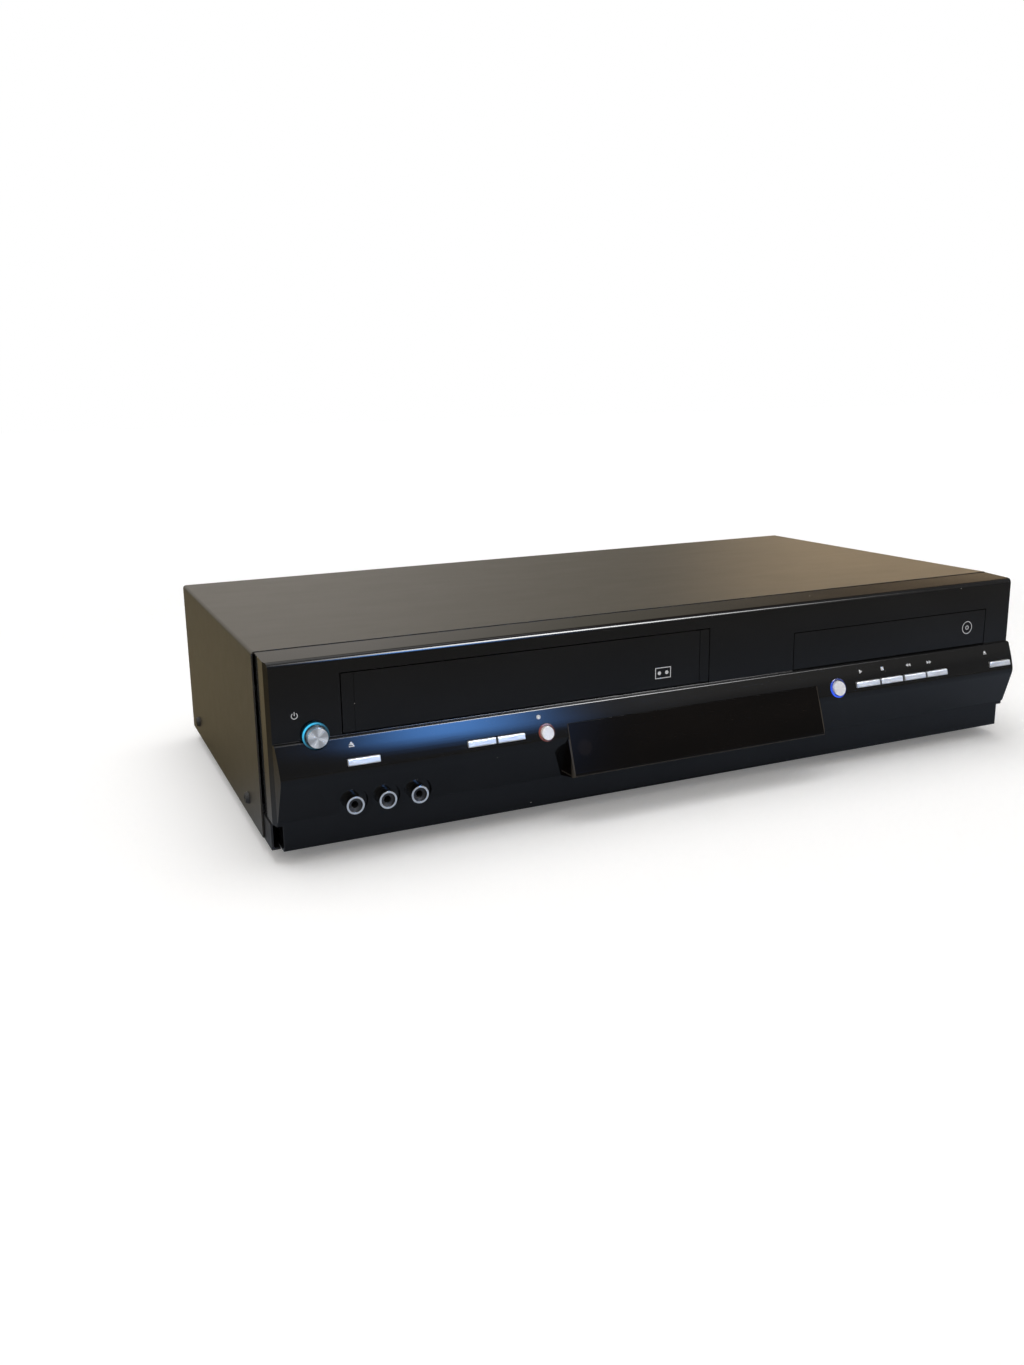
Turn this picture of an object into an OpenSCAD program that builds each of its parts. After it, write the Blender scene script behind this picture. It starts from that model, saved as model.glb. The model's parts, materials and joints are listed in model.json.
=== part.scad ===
// A full-width home player with a tape deck on the left and a disc loader on the right.
// Millimetres. +X is to the right, the front faces -Y, +Z is up, and the feet stand on Z = 0.
// Heights below are measured from the inside floor of the case, and Y from the cover's front edge.

/* [Case] */
// Width of the steel cover
cover_w = 430; // [424:1:440]
// Depth of the steel cover
cover_d = 193.5; // [192:0.5:215]
// Height of the steel cover above the inside floor
cover_h = 86.5; // [86:0.5:96]
// Thickness of the cover's steel
cover_t = 0.8; // [0.6:0.1:1]
// Outer radius of the cover's bends
cover_r = 1.8; // [1.2:0.1:3]
// Thickness of the chassis' steel
chassis_t = 1; // [0.8:0.1:1.5]
// Height of the chassis' side flanges
flange_h = 16; // [14:1:22]
// Thickness of the rear panel's steel
rear_t = 0.8; // [0.6:0.1:1.2]
// Height of the feet
foot_h = 6; // [4:0.5:10]
// Radius of a foot
foot_r = 12; // [9:0.5:14]
// Distance between the feet's centres from left to right
foot_span_x = 330; // [280:5:345]
// Distance of the front feet from the cover's front edge
foot_front_y = 22; // [16:1:30]
// Distance of the rear feet from the cover's rear edge
foot_rear_y = 26; // [16:1:30]

/* [Fascia] */
// Thickness of the fascia's moulding, from front to back
wall = 2.4; // [2:0.1:2.6]
// Thickness of the fascia's top
roof_t = 2; // [1.6:0.1:2.2]
// Step down from the cover to the fascia's top
roof_drop = 0.3; // [0.2:0.1:0.6]
// Fall of the fascia's top towards the front
roof_fall = 1; // [0.4:0.1:1.2]
// Radius of the fascia's upper front edge
roof_r = 2.6; // [1.5:0.1:3]
// How far each end of the fascia lies inside the cover's side
fascia_inset = 1.4; // [0.6:0.1:2.2]
// How far the flat upper face stands in front of the cover
face_p = 20.4; // [20:0.1:21]
// Height of the ledge under the upper face
ledge_z = 49.4; // [49:0.1:49.6]
// How far the ledge's edge stands in front of the cover
ledge_p = 22.4; // [21.8:0.1:23]
// Height of the bulge's nose
nose_z = 34; // [33:0.5:35]
// How far the bulge's nose stands in front of the cover
nose_p = 27.9; // [27:0.1:28.5]
// Radius of the bulge's nose
nose_r = 8; // [4:0.5:9]
// How far the slope above the nose is rounded out
belly = 0.5; // [0.2:0.1:0.6]
// Height at which the bulge meets the skirt
chin_z = 14.2; // [13.8:0.1:14.4]
// How far the bulge stands in front of the cover where it meets the skirt
chin_p = 21.3; // [20.8:0.1:21.6]
// How far the skirt stands in front of the cover
skirt_p = 20.3; // [19.8:0.1:20.4]
// How far each end of the skirt lies inside the fascia's end
skirt_inset = 3.8; // [3.2:0.1:5]
// How far the skirt hangs below the inside floor
skirt_drop = 0.6; // [0:0.1:0.9]

/* [Display] */
// Half width of the display window where it stands on the bulge
lens_half = 74.8; // [70:0.2:76]
// Height of the display window's top edge
lens_top_z = 41; // [40:0.5:42]
// Height of the display window's lower front edge
lens_low_z = 16.5; // [15.5:0.5:18]
// Height of the foot of the display window
lens_foot_z = 14.4; // [14.3:0.1:15]
// Thickness of the display window
lens_t = 2.4; // [1.8:0.1:3]
// Width of the display tube
tube_w = 116; // [90:1:130]

/* [Cassette door] */
// Distance of the tape deck's middle from the cover's left side
deck_inset = 129.25; // [128:0.25:130]
// Width of the cassette door
door_w = 190; // [189.6:0.2:190.8]
// Height of the cassette door
door_h = 26.8; // [26.4:0.1:27]
// Thickness of the cassette door
door_t = 2; // [1.6:0.1:2.2]
// Gap around the cassette door
door_gap = 0.5; // [0.4:0.1:0.6]
// Radius of the door's hinge pins
hinge_r = 1.25; // [1:0.05:1.4]

/* [Buttons] */
// Height of the bar buttons
bar_h = 3; // [2.6:0.1:3.6]
// How far a bar button stands proud of the bulge
bar_proud = 0.9; // [0.8:0.1:1.4]
// Travel of every button
press = 0.7; // [0.4:0.1:0.7]
// Height of the bar buttons' row
bar_z = 38.6; // [38:0.1:40]
// Radius of the power button's cap
power_r = 4.5; // [4:0.1:4.7]
// Radius of the record button's cap
record_r = 3.1; // [2.8:0.1:3.4]
// Radius of the selector button's cap
selector_r = 3.7; // [3.4:0.1:4]
// Gap between a button and its hole or ring
button_gap = 0.3; // [0.25:0.05:0.4]

/* [Jacks] */
// Outer radius of a phono jack's shell
shell_r = 4.15; // [4:0.05:4.3]
// Wall of a phono jack's shell
shell_t = 0.95; // [0.8:0.05:1]
// Radius of a phono jack's centre hole
pin_hole_r = 1.65; // [1.6:0.05:1.75]
// Depth of a phono jack's centre hole
pin_depth = 13.5; // [12:0.5:14]
// Distance between the front jacks
jack_pitch = 15.1; // [14.4:0.1:16]
// Height of the front jacks
jack_z = 18.6; // [18.4:0.1:19]
// How far a rear jack stands behind the rear panel
rear_jack_l = 9; // [8:0.5:10]

/* [Tape deck] */
// Width of the cassette
tape_w = 188; // [187:0.5:188]
// Thickness of the cassette
tape_h = 25; // [24.6:0.1:25]
// Height of the deck plate's underside
deck_z = 20; // [19:0.5:21]
// Thickness of the deck plate
deck_t = 1.2; // [1:0.1:1.5]
// Travel of the cassette towards the back
load_back = 45; // [40:1:46]
// Travel of the cassette down to the reels
load_down = 20; // [18:0.5:20]
// Depth of the cassette holder
basket_d = 55; // [50:1:55]
// Radius of the head drum
drum_r = 31; // [30:0.1:31]
// Lean of the head drum
drum_lean = 5; // [3:0.5:6]
// Distance from the deck's middle to a reel's centre
reel_x = 46; // [45:0.5:47]
// Radius of a reel table
reel_r = 28; // [24:0.5:30]
// Reach of a tape loading arm
arm_reach = 40; // [38:0.5:40]
// Radius of the capstan
capstan_r = 1.5; // [1.4:0.05:2]
// Radius of the pinch roller
pinch_r = 6; // [5:0.1:6]

/* [Disc loader] */
// Distance of the disc loader's middle from the cover's right side
loader_inset = 86.75; // [86:0.25:87]
// Width of the tray's front
bezel_w = 132.5; // [132:0.5:134]
// Height of the tray's front
bezel_h = 19.5; // [19:0.1:20]
// Width of the tray
tray_w = 127; // [126:0.5:128]
// Depth of the tray
tray_d = 178; // [176:1:180]
// Distance of the disc's centre from the cover's front edge
disc_y = 52; // [50:0.5:53]
// Radius of a disc
disc_r = 60; // [59.5:0.5:60]
// Travel of the pickup
pickup_run = 34; // [30:1:35]
// Radius of a guide rod
guide_r = 1.5; // [1.2:0.1:2]

/* [Gears] */
// Module of every gear
gear_m = 1; // [1]
// Teeth of a loading arm's gear
arm_teeth = 24; // [24]
// Teeth of the loading gear
loading_teeth = 18; // [18]
// Teeth of the tray gear
tray_teeth = 24; // [24]
// Teeth of the drive pulley's pinion
pinion_teeth = 18; // [18]

/* [Hidden] */
$fn = 48;

// General clearances
over = 1;            // how far a cut runs past the face that it opens
fit = 0.05;          // between a pin and its bore
slip = 0.3;          // between pieces that pass each other
seat = 0.15;         // between a piece and the pocket that it sits in

// Case
left_x = -cover_w / 2;
right_x = cover_w / 2;
cover_in = cover_w / 2 - cover_t;             // inside of the cover's side
fascia_half = cover_w / 2 - fascia_inset;
skirt_half = fascia_half - skirt_inset;
deck_x = left_x + deck_inset;
loader_x = right_x - loader_inset;
flange_out = cover_in - seat;                 // outside of the chassis' side flange
flange_in = flange_out - chassis_t;
rear_y = cover_d - cover_t - slip - rear_t;   // front face of the rear panel
lip_d = 9;                                    // depth of the cover's and the rear panel's lips
chassis_front_y = -14;                        // front edge of the chassis
front_lip_h = 8;
side_z = 12;                                  // lower edge of the fascia's ends
lens_p = nose_p + (nose_z - lens_low_z) * (nose_p - ledge_p) / (ledge_z - nose_z);
rear_tip_y = rear_y + rear_t + rear_jack_l;   // rearmost point of the jacks
mid_y = (rear_tip_y - lens_p) / 2;
side_screws = [[29, 9.4], [cover_d - 23.5, 8.7]];
rear_screw_x = [left_x + 45, 0, right_x - 45];
rear_screw_z = cover_h - 6;
screw_r = 1.5;
screw_head_r = 3;
screw_head_h = 1.8;
screw_l = 7;

// Fascia
seam = 0.3;                                   // between the fascia and the cover's front edge
end_wall = 2.2;
end_cut_x = 2.6;                              // bevel of the upper face's ends
end_cut_y = 4;
skirt_back = 12;                              // how far the skirt's ends run back
pad_p = chin_p;                               // floor of the jacks' pocket
pocket_r = 7;
jack_x = [for (i = [-1 : 1]) left_x + 51.5 + i * jack_pitch];
front_jack_tip = 27;
core_in = 1.4;                                // how far an insulator's face lies inside its shell
core_front_y = -front_jack_tip + core_in;
core_rear_y = rear_tip_y - core_in;
belly_z = (ledge_z + nose_z) / 2;
belly_p = (ledge_p + nose_p) / 2 + belly;
belly_r = 60;
ledge_lean = (belly_p - ledge_p) / (ledge_z - belly_z);
bulge_lean = (nose_p - belly_p) / (belly_z - nose_z);
chin_lean = (nose_p - chin_p) / (nose_z - chin_z);
board_p = 14.2;                               // front face of the front board
board_t = 1.6;
switch_w = 6;
switch_p = 18.4;                              // tip of a switch's plunger
low_switch_p = 15.9;                          // the same behind the power button
boss_r = 3;
pilot_r = 1.25;
hooks_x = [90 - skirt_half, 0, skirt_half - 90];   // hooks over the chassis' front lip
hook_w = 10;
board_boss = [[left_x + 12, 34], [-lens_half - 53.2, 10.5], [lens_half + 9.2, 25], [right_x - 12, 25]];

// Cassette door, hung behind the band above its opening
door_z = ledge_z + 1;
door_top = door_z + door_h;
hinge_p = face_p - door_t - 2.5;
hinge_z = door_top + 4.6;
door_arm_x = 91;                              // inner face of a door arm
door_arm_t = 2.1;
spring_pin_r = hinge_r - 0.45;
lug_r = 2.4;
lug_t = 2.2;

// Round buttons beside the window and at the left end, and each bar's left and right edge
power_x = left_x + 21.4;
record_x = -lens_half - 9.7;
selector_x = lens_half + 12;
eject_bar = [power_x + 12.4, power_x + 27.2];
speed_bar = [record_x - 25.55, record_x - 11.5];
input_bar = [speed_bar[0] - 14.55, speed_bar[0] - 0.5];
play_bar = [selector_x + 12.2, selector_x + 27.95];
stop_bar = [play_bar[1] + 0.5, play_bar[1] + 15.45];
rewind_bar = [stop_bar[1] + 1.6, stop_bar[1] + 16.5];
forward_bar = [rewind_bar[1] + 0.5, rewind_bar[1] + 15.3];
open_close_bar = [right_x - 21.1, right_x - 6];
bars = [eject_bar, input_bar, speed_bar, play_bar, stop_bar, rewind_bar, forward_bar, open_close_bar];
// Round buttons: bore and outer radius of each ring
power_z = 51.5;
power_tip = 26.4;
power_ring = [power_r + button_gap, 6];
power_ring_p = 23;
record_ring = [record_r + button_gap, 4.1];
selector_ring = [selector_r + button_gap, 4.9];
ring_proud = 0.5;
cap_proud = 1.6;
stem_r = 1.6;

// Tape deck
deck_top = deck_z + deck_t;
deck_y = [5, cover_d - 4];
slot_z = ledge_z + 1.6;                       // underside of a cassette in the slot
basket_y = 18;                                // front of the cassette holder
basket_in = tape_w / 2 + 1;                   // inside of the holder's sides
basket_t = 1.2;
basket_ledge = 12;
basket_gap = 0.6;                             // above the cassette
housing_in = basket_in + basket_t + 1.2;      // inside of the housing's sides
housing_t = 1;
deck_half = housing_in + housing_t;
housing_y = [16, 118];
housing_top = cover_h - 4.5;
slider_in = housing_in + housing_t + slip;
slider_t = 1.2;
slider_y = [22, 70];
guide_pin_r = 1.5;
guide_pins_y = [slider_y[0] + 6, slider_y[1] - 8];
basket_pin_z = slot_z + 9;
slide_slot_z = basket_pin_z + 11;
reel_y = 60;
drum_y = 155;
drum_z = 30;
lower_drum_h = 13;
upper_drum_h = 15;
drum_shaft_r = 3;
arm_pivot_x = arm_teeth * gear_m / 2;
arm_pivot_y = 104;
arm_rest = -5;
arm_z = deck_top + slip;
arm_t = 2.4;
post_r = 2;
tape_post_r = 3;
loading_y = arm_pivot_y - (arm_teeth + loading_teeth) * gear_m / 2;
capstan_at = [62, 119];
capstan_sleeve_r = 6;
flywheel_r = 24;
flywheel_z = [12, 17];
pinch_pivot = [88, 128];
pinch_at = [75, 112];
pinch_arm_z = [deck_top + 2, deck_top + 5];
pinch_z = [30, 44];
head_at = [54, 137];
erase_at = [-70, 125];
deck_back = deck_y[1] - 11.5;
deck_posts = [[-90, 12], [90, 12], [-90, deck_back], [90, deck_back], [-20, 20], [30, deck_back + 6]];
deck_post_r = 4;

// Disc loader, in the tray's own heights
tray_z = ledge_z + 2.6;                       // underside of the tray
tray_t = 6;
tray_front = -17.9;
tray_slot = 24;                               // half width of the tray's slot
bezel_z = ledge_z + 0.5;
bezel_gap = 0.4;
rail_in = tray_w / 2 + 0.5;
rail_t = 2.5;
loader_y = [-5, 165];
loader_z = 28;
floor_t = 2.5;
rail_top = tray_z + tray_t + 2;
guides_y = [8, 118];                          // guides over the tray's edges
loader_posts = [for (x = [-1, 1], y = [10, 150]) [x * (rail_in + rail_t + 3.5), y]];
bridge_t = 1.2;
bridge_half = 22;
clamp_r = 15;
clamp_hole = 17;
seat_z = tray_z + 4.2;                        // the disc's underside
disc_t = 1.2;
gear_y = 12;
tray_gear_x = -tray_w / 2 + 9.5 + tray_teeth * gear_m / 2;
pinion_x = tray_gear_x + (tray_teeth + pinion_teeth) * gear_m / 2;
motor_x = pinion_x + 46;
pulley_r = 14;
pulley_groove = 1.2;
motor_pulley_r = 3.5;
belt_t = 1.4;
belt_z = loader_z + floor_t + 9;
gear_z = [tray_z - 8.8, tray_z - 0.3];
rack_h = 2.1;
pinion_z = [belt_z + 3, tray_z - 5.2];
swing_y = 150;                                // pivot of the traverse
swing_z = 40;
traverse_half = 46;
traverse_y = [36, 153];
traverse_z = [38, 41];
rod_x = 27;
rod_z = 45;
pickup_y = disc_y + 25;                       // lens of the pickup, resting at its inner end
pickup_d = [-9, 17];                          // front and back of the pickup from its lens
rod_y = [disc_y + 10, pickup_y + pickup_d[1] + pickup_run + 12];

// Boards
board_z = 4;
board_top = board_z + board_t;
main_x = right_x - 8;
main_y = [8, rear_y - 2.5];
power_x0 = deck_x + deck_half + 2.85;
power_x1 = power_x0 + 38;
power_y = [34, rear_y - 2.5];
board_gap = 1.5;
standoff_r = 3.5;
standoffs = [
    [left_x + 15, 14], [left_x + 15, 108], [right_x - 33, 20], [right_x - 15, main_y[1] - 9.1],
    [power_x0 - 15.5, 108], [loader_x - 52.25, 20]
];
power_standoffs = [[power_x0 + 4, power_y[0] + 5], [power_x1 - 4, power_y[0] + 98]];
rear_jack_pitch = 14.5;
rear_jack_x = [for (i = [0 : 2]) right_x - 137 + i * rear_jack_pitch];
rear_jack_x2 = [for (i = [0 : 2]) right_x - 75 + i * rear_jack_pitch];
rear_jack_z = [16, 31];
rear_jacks = [for (x = concat(rear_jack_x, rear_jack_x2), z = rear_jack_z) [x, z]];
tuner_x = [left_x + 6, left_x + 26.5];
tuner_y = [120, rear_y];
tuner_z = [board_top, 40];
aerial_x = left_x + 16.5;
aerials_z = [15, 31];
aerial_r = 4.76;
inlet_x = power_x0 + 19.5;
inlet_z = 20;
inlet_r = 6.4;
inlet_pitch = 8.4;

// Length of a vector set to 1
function unit(v) = v / norm(v);

// One corner b of an outline, [x, y, radius], drawn as an arc between its neighbours a and c
function corner(a, b, c, steps) =
    let (
        at = [b[0], b[1]],
        u = unit([a[0], a[1]] - at),
        w = unit([c[0], c[1]] - at),
        half = acos(u * w) / 2,
        middle = at + unit(u + w) * b[2] / sin(half),
        first = at + u * b[2] / tan(half) - middle,
        last = at + w * b[2] / tan(half) - middle,
        start = atan2(first[1], first[0]),
        turn = atan2(last[1], last[0]) - start,
        sweep = turn > 180 ? turn - 360 : turn < -180 ? turn + 360 : turn
    )
    b[2] == 0 ? [at] :
    [for (i = [0 : steps]) middle + b[2] * [cos(start + sweep * i / steps), sin(start + sweep * i / steps)]];

// An outline whose corners, each [x, y, radius], are rounded
function rounded(points, steps = 6) =
    let (n = len(points))
    [for (i = [0 : n - 1]) each corner(points[(i + n - 1) % n], points[i], points[(i + 1) % n], steps)];

// Corners of a rectangle with one radius
function rectangle(x, y, r) = [[x[0], y[0], r], [x[1], y[0], r], [x[1], y[1], r], [x[0], y[1], r]];

// Top of the fascia at a place p in front of the cover
function roof_z(p) = cover_h - roof_drop - roof_fall * p / face_p;

// How far the bulge stands out at height z
function bulge_p(z) =
    z > belly_z ? belly_p - (z - belly_z) * ledge_lean :
    z > nose_z ? nose_p - (z - nose_z) * bulge_lean : nose_p - (nose_z - z) * chin_lean;

// A tooth's half angle at radius r on a gear
function roll(r, base) = r <= base ? 0 : tan(acos(base / r)) * 180 / PI - acos(base / r);

// Outline of a spur gear with involute flanks, its first tooth at angle phase
function gear_outline(teeth, phase = 0, play = 0.12) =
    let (
        pitch = teeth * gear_m / 2,
        base = pitch * cos(20),
        radii = [pitch - 1.2 * gear_m, base, pitch, pitch + 0.5 * gear_m, pitch + 0.9 * gear_m],
        half = 90 / teeth - play / pitch * 180 / PI + roll(pitch, base),
        flank = [for (r = radii) [r, half - roll(r, base)]],
        back = [for (k = [len(flank) - 1 : -1 : 0]) flank[k]]
    )
    [for (i = [0 : teeth - 1])
        let (middle = phase + i * 360 / teeth)
        each concat(
            [for (f = flank) f[0] * [cos(middle - f[1]), sin(middle - f[1])]],
            [for (f = back) f[0] * [cos(middle + f[1]), sin(middle + f[1])]]
        )];

// Teeth of a rack along Y, with a gap at y = gap_y, pointing to +X from the line x = 0
function rack_outline(y0, y1, gap_y, play = 0.12) =
    let (
        pitch = PI * gear_m,
        flank = tan(20),
        low = -1.2 * gear_m,
        high = 0.9 * gear_m,
        half = pitch / 4 - play,
        first = ceil((y0 - gap_y) / pitch - 0.5) + 1,
        last = floor((y1 - gap_y) / pitch - 0.5) - 1
    )
    concat(
        [[low - 3, y1], [low - 3, y0], [low, y0]],
        [for (k = [first : last])
            let (middle = gap_y + (k + 0.5) * pitch)
            each [
                [low, middle - half + low * flank],
                [high, middle - half + high * flank],
                [high, middle + half - high * flank],
                [low, middle + half - low * flank]
            ]],
        [[low, y1]]
    );

// Outline of a belt's path around two pulleys, at distance extra from their rims
function belt_outline(x0, r0, x1, r1, extra, steps = 24) =
    let (
        lean = acos((r0 - r1) / (x1 - x0))
    )
    concat(
        [for (i = [0 : steps])
            let (a = lean + (360 - 2 * lean) * i / steps)
            [x0 + (r0 + extra) * cos(a), (r0 + extra) * sin(a)]],
        [for (i = [0 : steps])
            let (a = -lean + 2 * lean * i / steps)
            [x1 + (r1 + extra) * cos(a), (r1 + extra) * sin(a)]]
    );

// The whole object stands on its feet, centred on its own depth
module placed() {
    translate([0, -mid_y, foot_h + chassis_t]) children();
}

// A box between two limits on each axis
module block(x, y, z) {
    translate([x[0], y[0], z[0]]) cube([x[1] - x[0], y[1] - y[0], z[1] - z[0]]);
}

// Round bars along each axis
module rod_x(x, y, z, r) {
    translate([x[0], y, z]) rotate([0, 90, 0]) cylinder(r = r, h = x[1] - x[0]);
}

module rod_y(x, y, z, r) {
    translate([x, y[0], z]) rotate([-90, 0, 0]) cylinder(r = r, h = y[1] - y[0]);
}

module rod_z(x, y, z, r) {
    translate([x, y, z[0]]) cylinder(r = r, h = z[1] - z[0]);
}

// The same upright bar at each point
module rods_z(points, z, r) {
    for (p = points) rod_z(p[0], p[1], z, r);
}

// A box centred from left to right
module wide(half, y, z) {
    block([-half, half], y, z);
}

// Outlines drawn in (y, z), (x, z) or (x, y) and pulled along the third axis
module pull_x(x) {
    translate([x[0], 0, 0]) rotate([90, 0, 90]) linear_extrude(x[1] - x[0]) children();
}

module pull_y(y) {
    translate([0, y[1], 0]) rotate([90, 0, 0]) linear_extrude(y[1] - y[0]) children();
}

module pull_z(z) {
    translate([0, 0, z[0]]) linear_extrude(z[1] - z[0]) children();
}

module both_sides() {
    children();
    mirror([1, 0, 0]) children();
}

// The mechanisms are drawn about their own middles
module at_deck() {
    translate([deck_x, 0, 0]) children();
}

module at_loader() {
    translate([loader_x, 0, 0]) children();
}

// A pan-head screw along -Z, its head standing on Z = 0
module screw(length, r = screw_r, head_r = screw_head_r, head_h = screw_head_h) {
    difference() {
        union() {
            cylinder(r1 = head_r, r2 = head_r * 0.8, h = head_h);
            translate([0, 0, -length]) cylinder(r = r, h = length + head_h / 2);
        }
        translate([0, 0, head_h]) cube([0.7, head_r, 1.6], center = true);
        translate([0, 0, head_h]) cube([head_r, 0.7, 1.6], center = true);
    }
}

// ---- Case ----

module top_cover() {
    color("#2b2723") difference() {
        union() {
            pull_y([0, cover_d]) difference() {
                polygon(rounded([
                    [-cover_w / 2, 0, 0], [cover_w / 2, 0, 0],
                    [cover_w / 2, cover_h, cover_r], [-cover_w / 2, cover_h, cover_r]
                ]));
                polygon(rounded([
                    [-cover_in, -over, 0], [cover_in, -over, 0],
                    [cover_in, cover_h - cover_t, cover_r - cover_t],
                    [-cover_in, cover_h - cover_t, cover_r - cover_t]
                ]));
            }
            wide(cover_in - 8, [cover_d - cover_t, cover_d], [cover_h - lip_d - 4, cover_h - cover_r]);
            wide(cover_in - 8, [cover_d - cover_t, cover_d], [cover_h - 4, cover_h - cover_t / 2]);
        }
        for (s = side_screws) rod_x([-cover_w, cover_w], s[0], s[1], screw_r + 0.2);
        for (x = rear_screw_x) rod_y(x, [cover_d - lip_d, cover_d + over], rear_screw_z, screw_r + 0.2);
    }
}

module bottom_chassis() {
    front_flange_h = side_z - 0.6;
    color("#6f7072") difference() {
        union() {
            wide(flange_out, [chassis_front_y, rear_y - slip], [-chassis_t, 0]);
            both_sides() {
                block([flange_in, flange_out], [0.5, rear_y - slip], [-chassis_t, flange_h]);
                block([flange_in, flange_out], [chassis_front_y, over], [-chassis_t, front_flange_h]);
            }
            wide(skirt_half - 6, [chassis_front_y, chassis_front_y + chassis_t], [-chassis_t, front_lip_h]);
            at_deck() rods_z(deck_posts, [-chassis_t / 2, deck_z], deck_post_r);
            at_loader() rods_z(loader_posts, [-chassis_t / 2, loader_z], deck_post_r);
            rods_z(concat(standoffs, power_standoffs), [-chassis_t / 2, board_z], standoff_r);
        }
        // Slots that the skirt's ends stand in
        both_sides() block(
            [skirt_half - wall - slip, skirt_half + slip],
            [chassis_front_y - over, skirt_back - skirt_p + slip],
            [-chassis_t - over, over]
        );
        for (s = side_screws) rod_x([-cover_w, cover_w], s[0], s[1], screw_r + fit);
        at_deck() rods_z(deck_posts, [deck_z - screw_l, deck_z + over], screw_r + fit);
        at_loader() rods_z(loader_posts, [loader_z - screw_l, loader_z + over], screw_r + fit);
        rods_z(concat(standoffs, power_standoffs), [-chassis_t - over, board_z + over], screw_r + fit);
        for (x = [-1, 1], y = [foot_front_y, cover_d - foot_rear_y]) {
            rod_z(x * foot_span_x / 2, y, [-chassis_t - over, over], foot_r / 3 + fit);
        }
        // Air slots under the power supply and the disc loader
        for (i = [0 : 7]) {
            block([power_x0 + 6, power_x1 - 6], [50 + i * 12, 54 + i * 12], [-chassis_t - over, over]);
        }
        for (i = [0 : 5]) {
            block([loader_x - 40, loader_x + 40], [60 + i * 12, 64 + i * 12], [-chassis_t - over, over]);
        }
    }
}

module rear_panel() {
    panel_z = [0, cover_h - cover_t - slip];
    color("#3b3c3f") difference() {
        union() {
            wide(flange_in - slip, [rear_y, rear_y + rear_t], panel_z);
            wide(flange_in - slip, [rear_y - lip_d, rear_y + rear_t / 2], [0, rear_t]);
            wide(cover_in - 8, [rear_y - lip_d, rear_y + rear_t / 2], [panel_z[1] - rear_t, panel_z[1]]);
        }
        for (j = rear_jacks) rod_y(j[0], [rear_y - over, rear_y + 2], j[1], shell_r + seat);
        for (z = aerials_z) rod_y(aerial_x, [rear_y - over, rear_y + 2], z, aerial_r + seat);
        for (x = rear_screw_x) rod_y(x, [rear_y - over, rear_y + 2], rear_screw_z, screw_r + fit);
        pull_y([rear_y - over, rear_y + 2]) inlet_outline(seat);
        // Air slots
        for (i = [0 : 9]) translate([right_x - 155 + i * 13, 0, 0]) {
            block([0, 8], [rear_y - over, rear_y + 2], [52, 70]);
        }
        // Room for the boards' edges and the deck posts
        rods_z(standoffs, [-over, over], standoff_r + slip);
        at_deck() rods_z(deck_posts, [-over, over], deck_post_r + slip);
    }
}

// Outline of the mains inlet's shell in (x, z)
module inlet_outline(extra) {
    translate([inlet_x - inlet_pitch / 2, inlet_z]) circle(r = inlet_r + extra);
    translate([inlet_x + inlet_pitch / 2, inlet_z]) circle(r = inlet_r + extra);
    translate([inlet_x, inlet_z]) square([inlet_pitch, 2 * (inlet_r + extra)], center = true);
}

// Outline of the fascia's outside from the side, in (y, z)
module fascia_side() {
    polygon(rounded([
        [-seam, roof_z(0), 0], [-face_p, roof_z(face_p), roof_r],
        [-face_p, ledge_z, 0.3], [-ledge_p, ledge_z, 1.2], [-belly_p, belly_z, belly_r],
        [-nose_p, nose_z, nose_r], [-chin_p, chin_z, 0.3],
        [-skirt_p, chin_z - 0.4, 0], [-skirt_p, side_z, 0], [-seam, side_z, 0]
    ]));
}

// The same for the hollow behind it
module fascia_hollow_side() {
    shelf = ledge_z - wall;
    polygon([
        [over, roof_z(0) - roof_t], [-face_p + wall, roof_z(face_p) - roof_t],
        [-face_p + wall, shelf], [-bulge_p(shelf) + wall, shelf],
        [-belly_p + wall, belly_z], [-nose_p + wall, nose_z], [-chin_p + wall, chin_z],
        [-chin_p + wall, side_z + 1.5], [over, side_z + 1.5]
    ]);
}

// The fascia's outline from above down to the line front_p, with its ends bevelled in two steps
function fascia_plan(front_p) =
    let (
        half = [
            [fascia_half, -seam, 0], [fascia_half, -face_p + end_cut_y, 1.5],
            [fascia_half - end_cut_x / 2, -face_p, 0.8], [fascia_half - end_cut_x, -front_p, 0.6]
        ]
    )
    rounded(concat(half, [for (i = [3 : -1 : 0]) [-half[i][0], half[i][1], half[i][2]]]));

module fascia_shell() {
    difference() {
        union() {
            intersection() {
                pull_x([-fascia_half, fascia_half]) fascia_side();
                union() {
                    pull_z([ledge_z - over, cover_h]) polygon(fascia_plan(face_p + 1.5));
                    pull_z([0, ledge_z]) polygon(fascia_plan(nose_p + over));
                }
            }
            intersection() {
                pull_x([-skirt_half, skirt_half]) polygon(rounded([
                    [skirt_back - skirt_p, chin_z - 0.6, 0], [-skirt_p, chin_z - 0.6, 0],
                    [-skirt_p, -skirt_drop, 2], [skirt_back - skirt_p, -skirt_drop, 0]
                ]));
                pull_z([-over - skirt_drop, chin_z]) polygon(rounded(
                    rectangle([-skirt_half, skirt_half], [-skirt_p, 0], 1.5)));
            }
            // Tongue under the cover's front edge
            wide(fascia_half - 8, [-2, 4], [cover_h - cover_t - slip - 1.4, cover_h - cover_t - slip]);
        }
        pull_x([-fascia_half + end_wall, fascia_half - end_wall]) fascia_hollow_side();
        wide(skirt_half - wall, [-skirt_p + wall, over], [-over - skirt_drop, chin_z]);
    }
}

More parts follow.
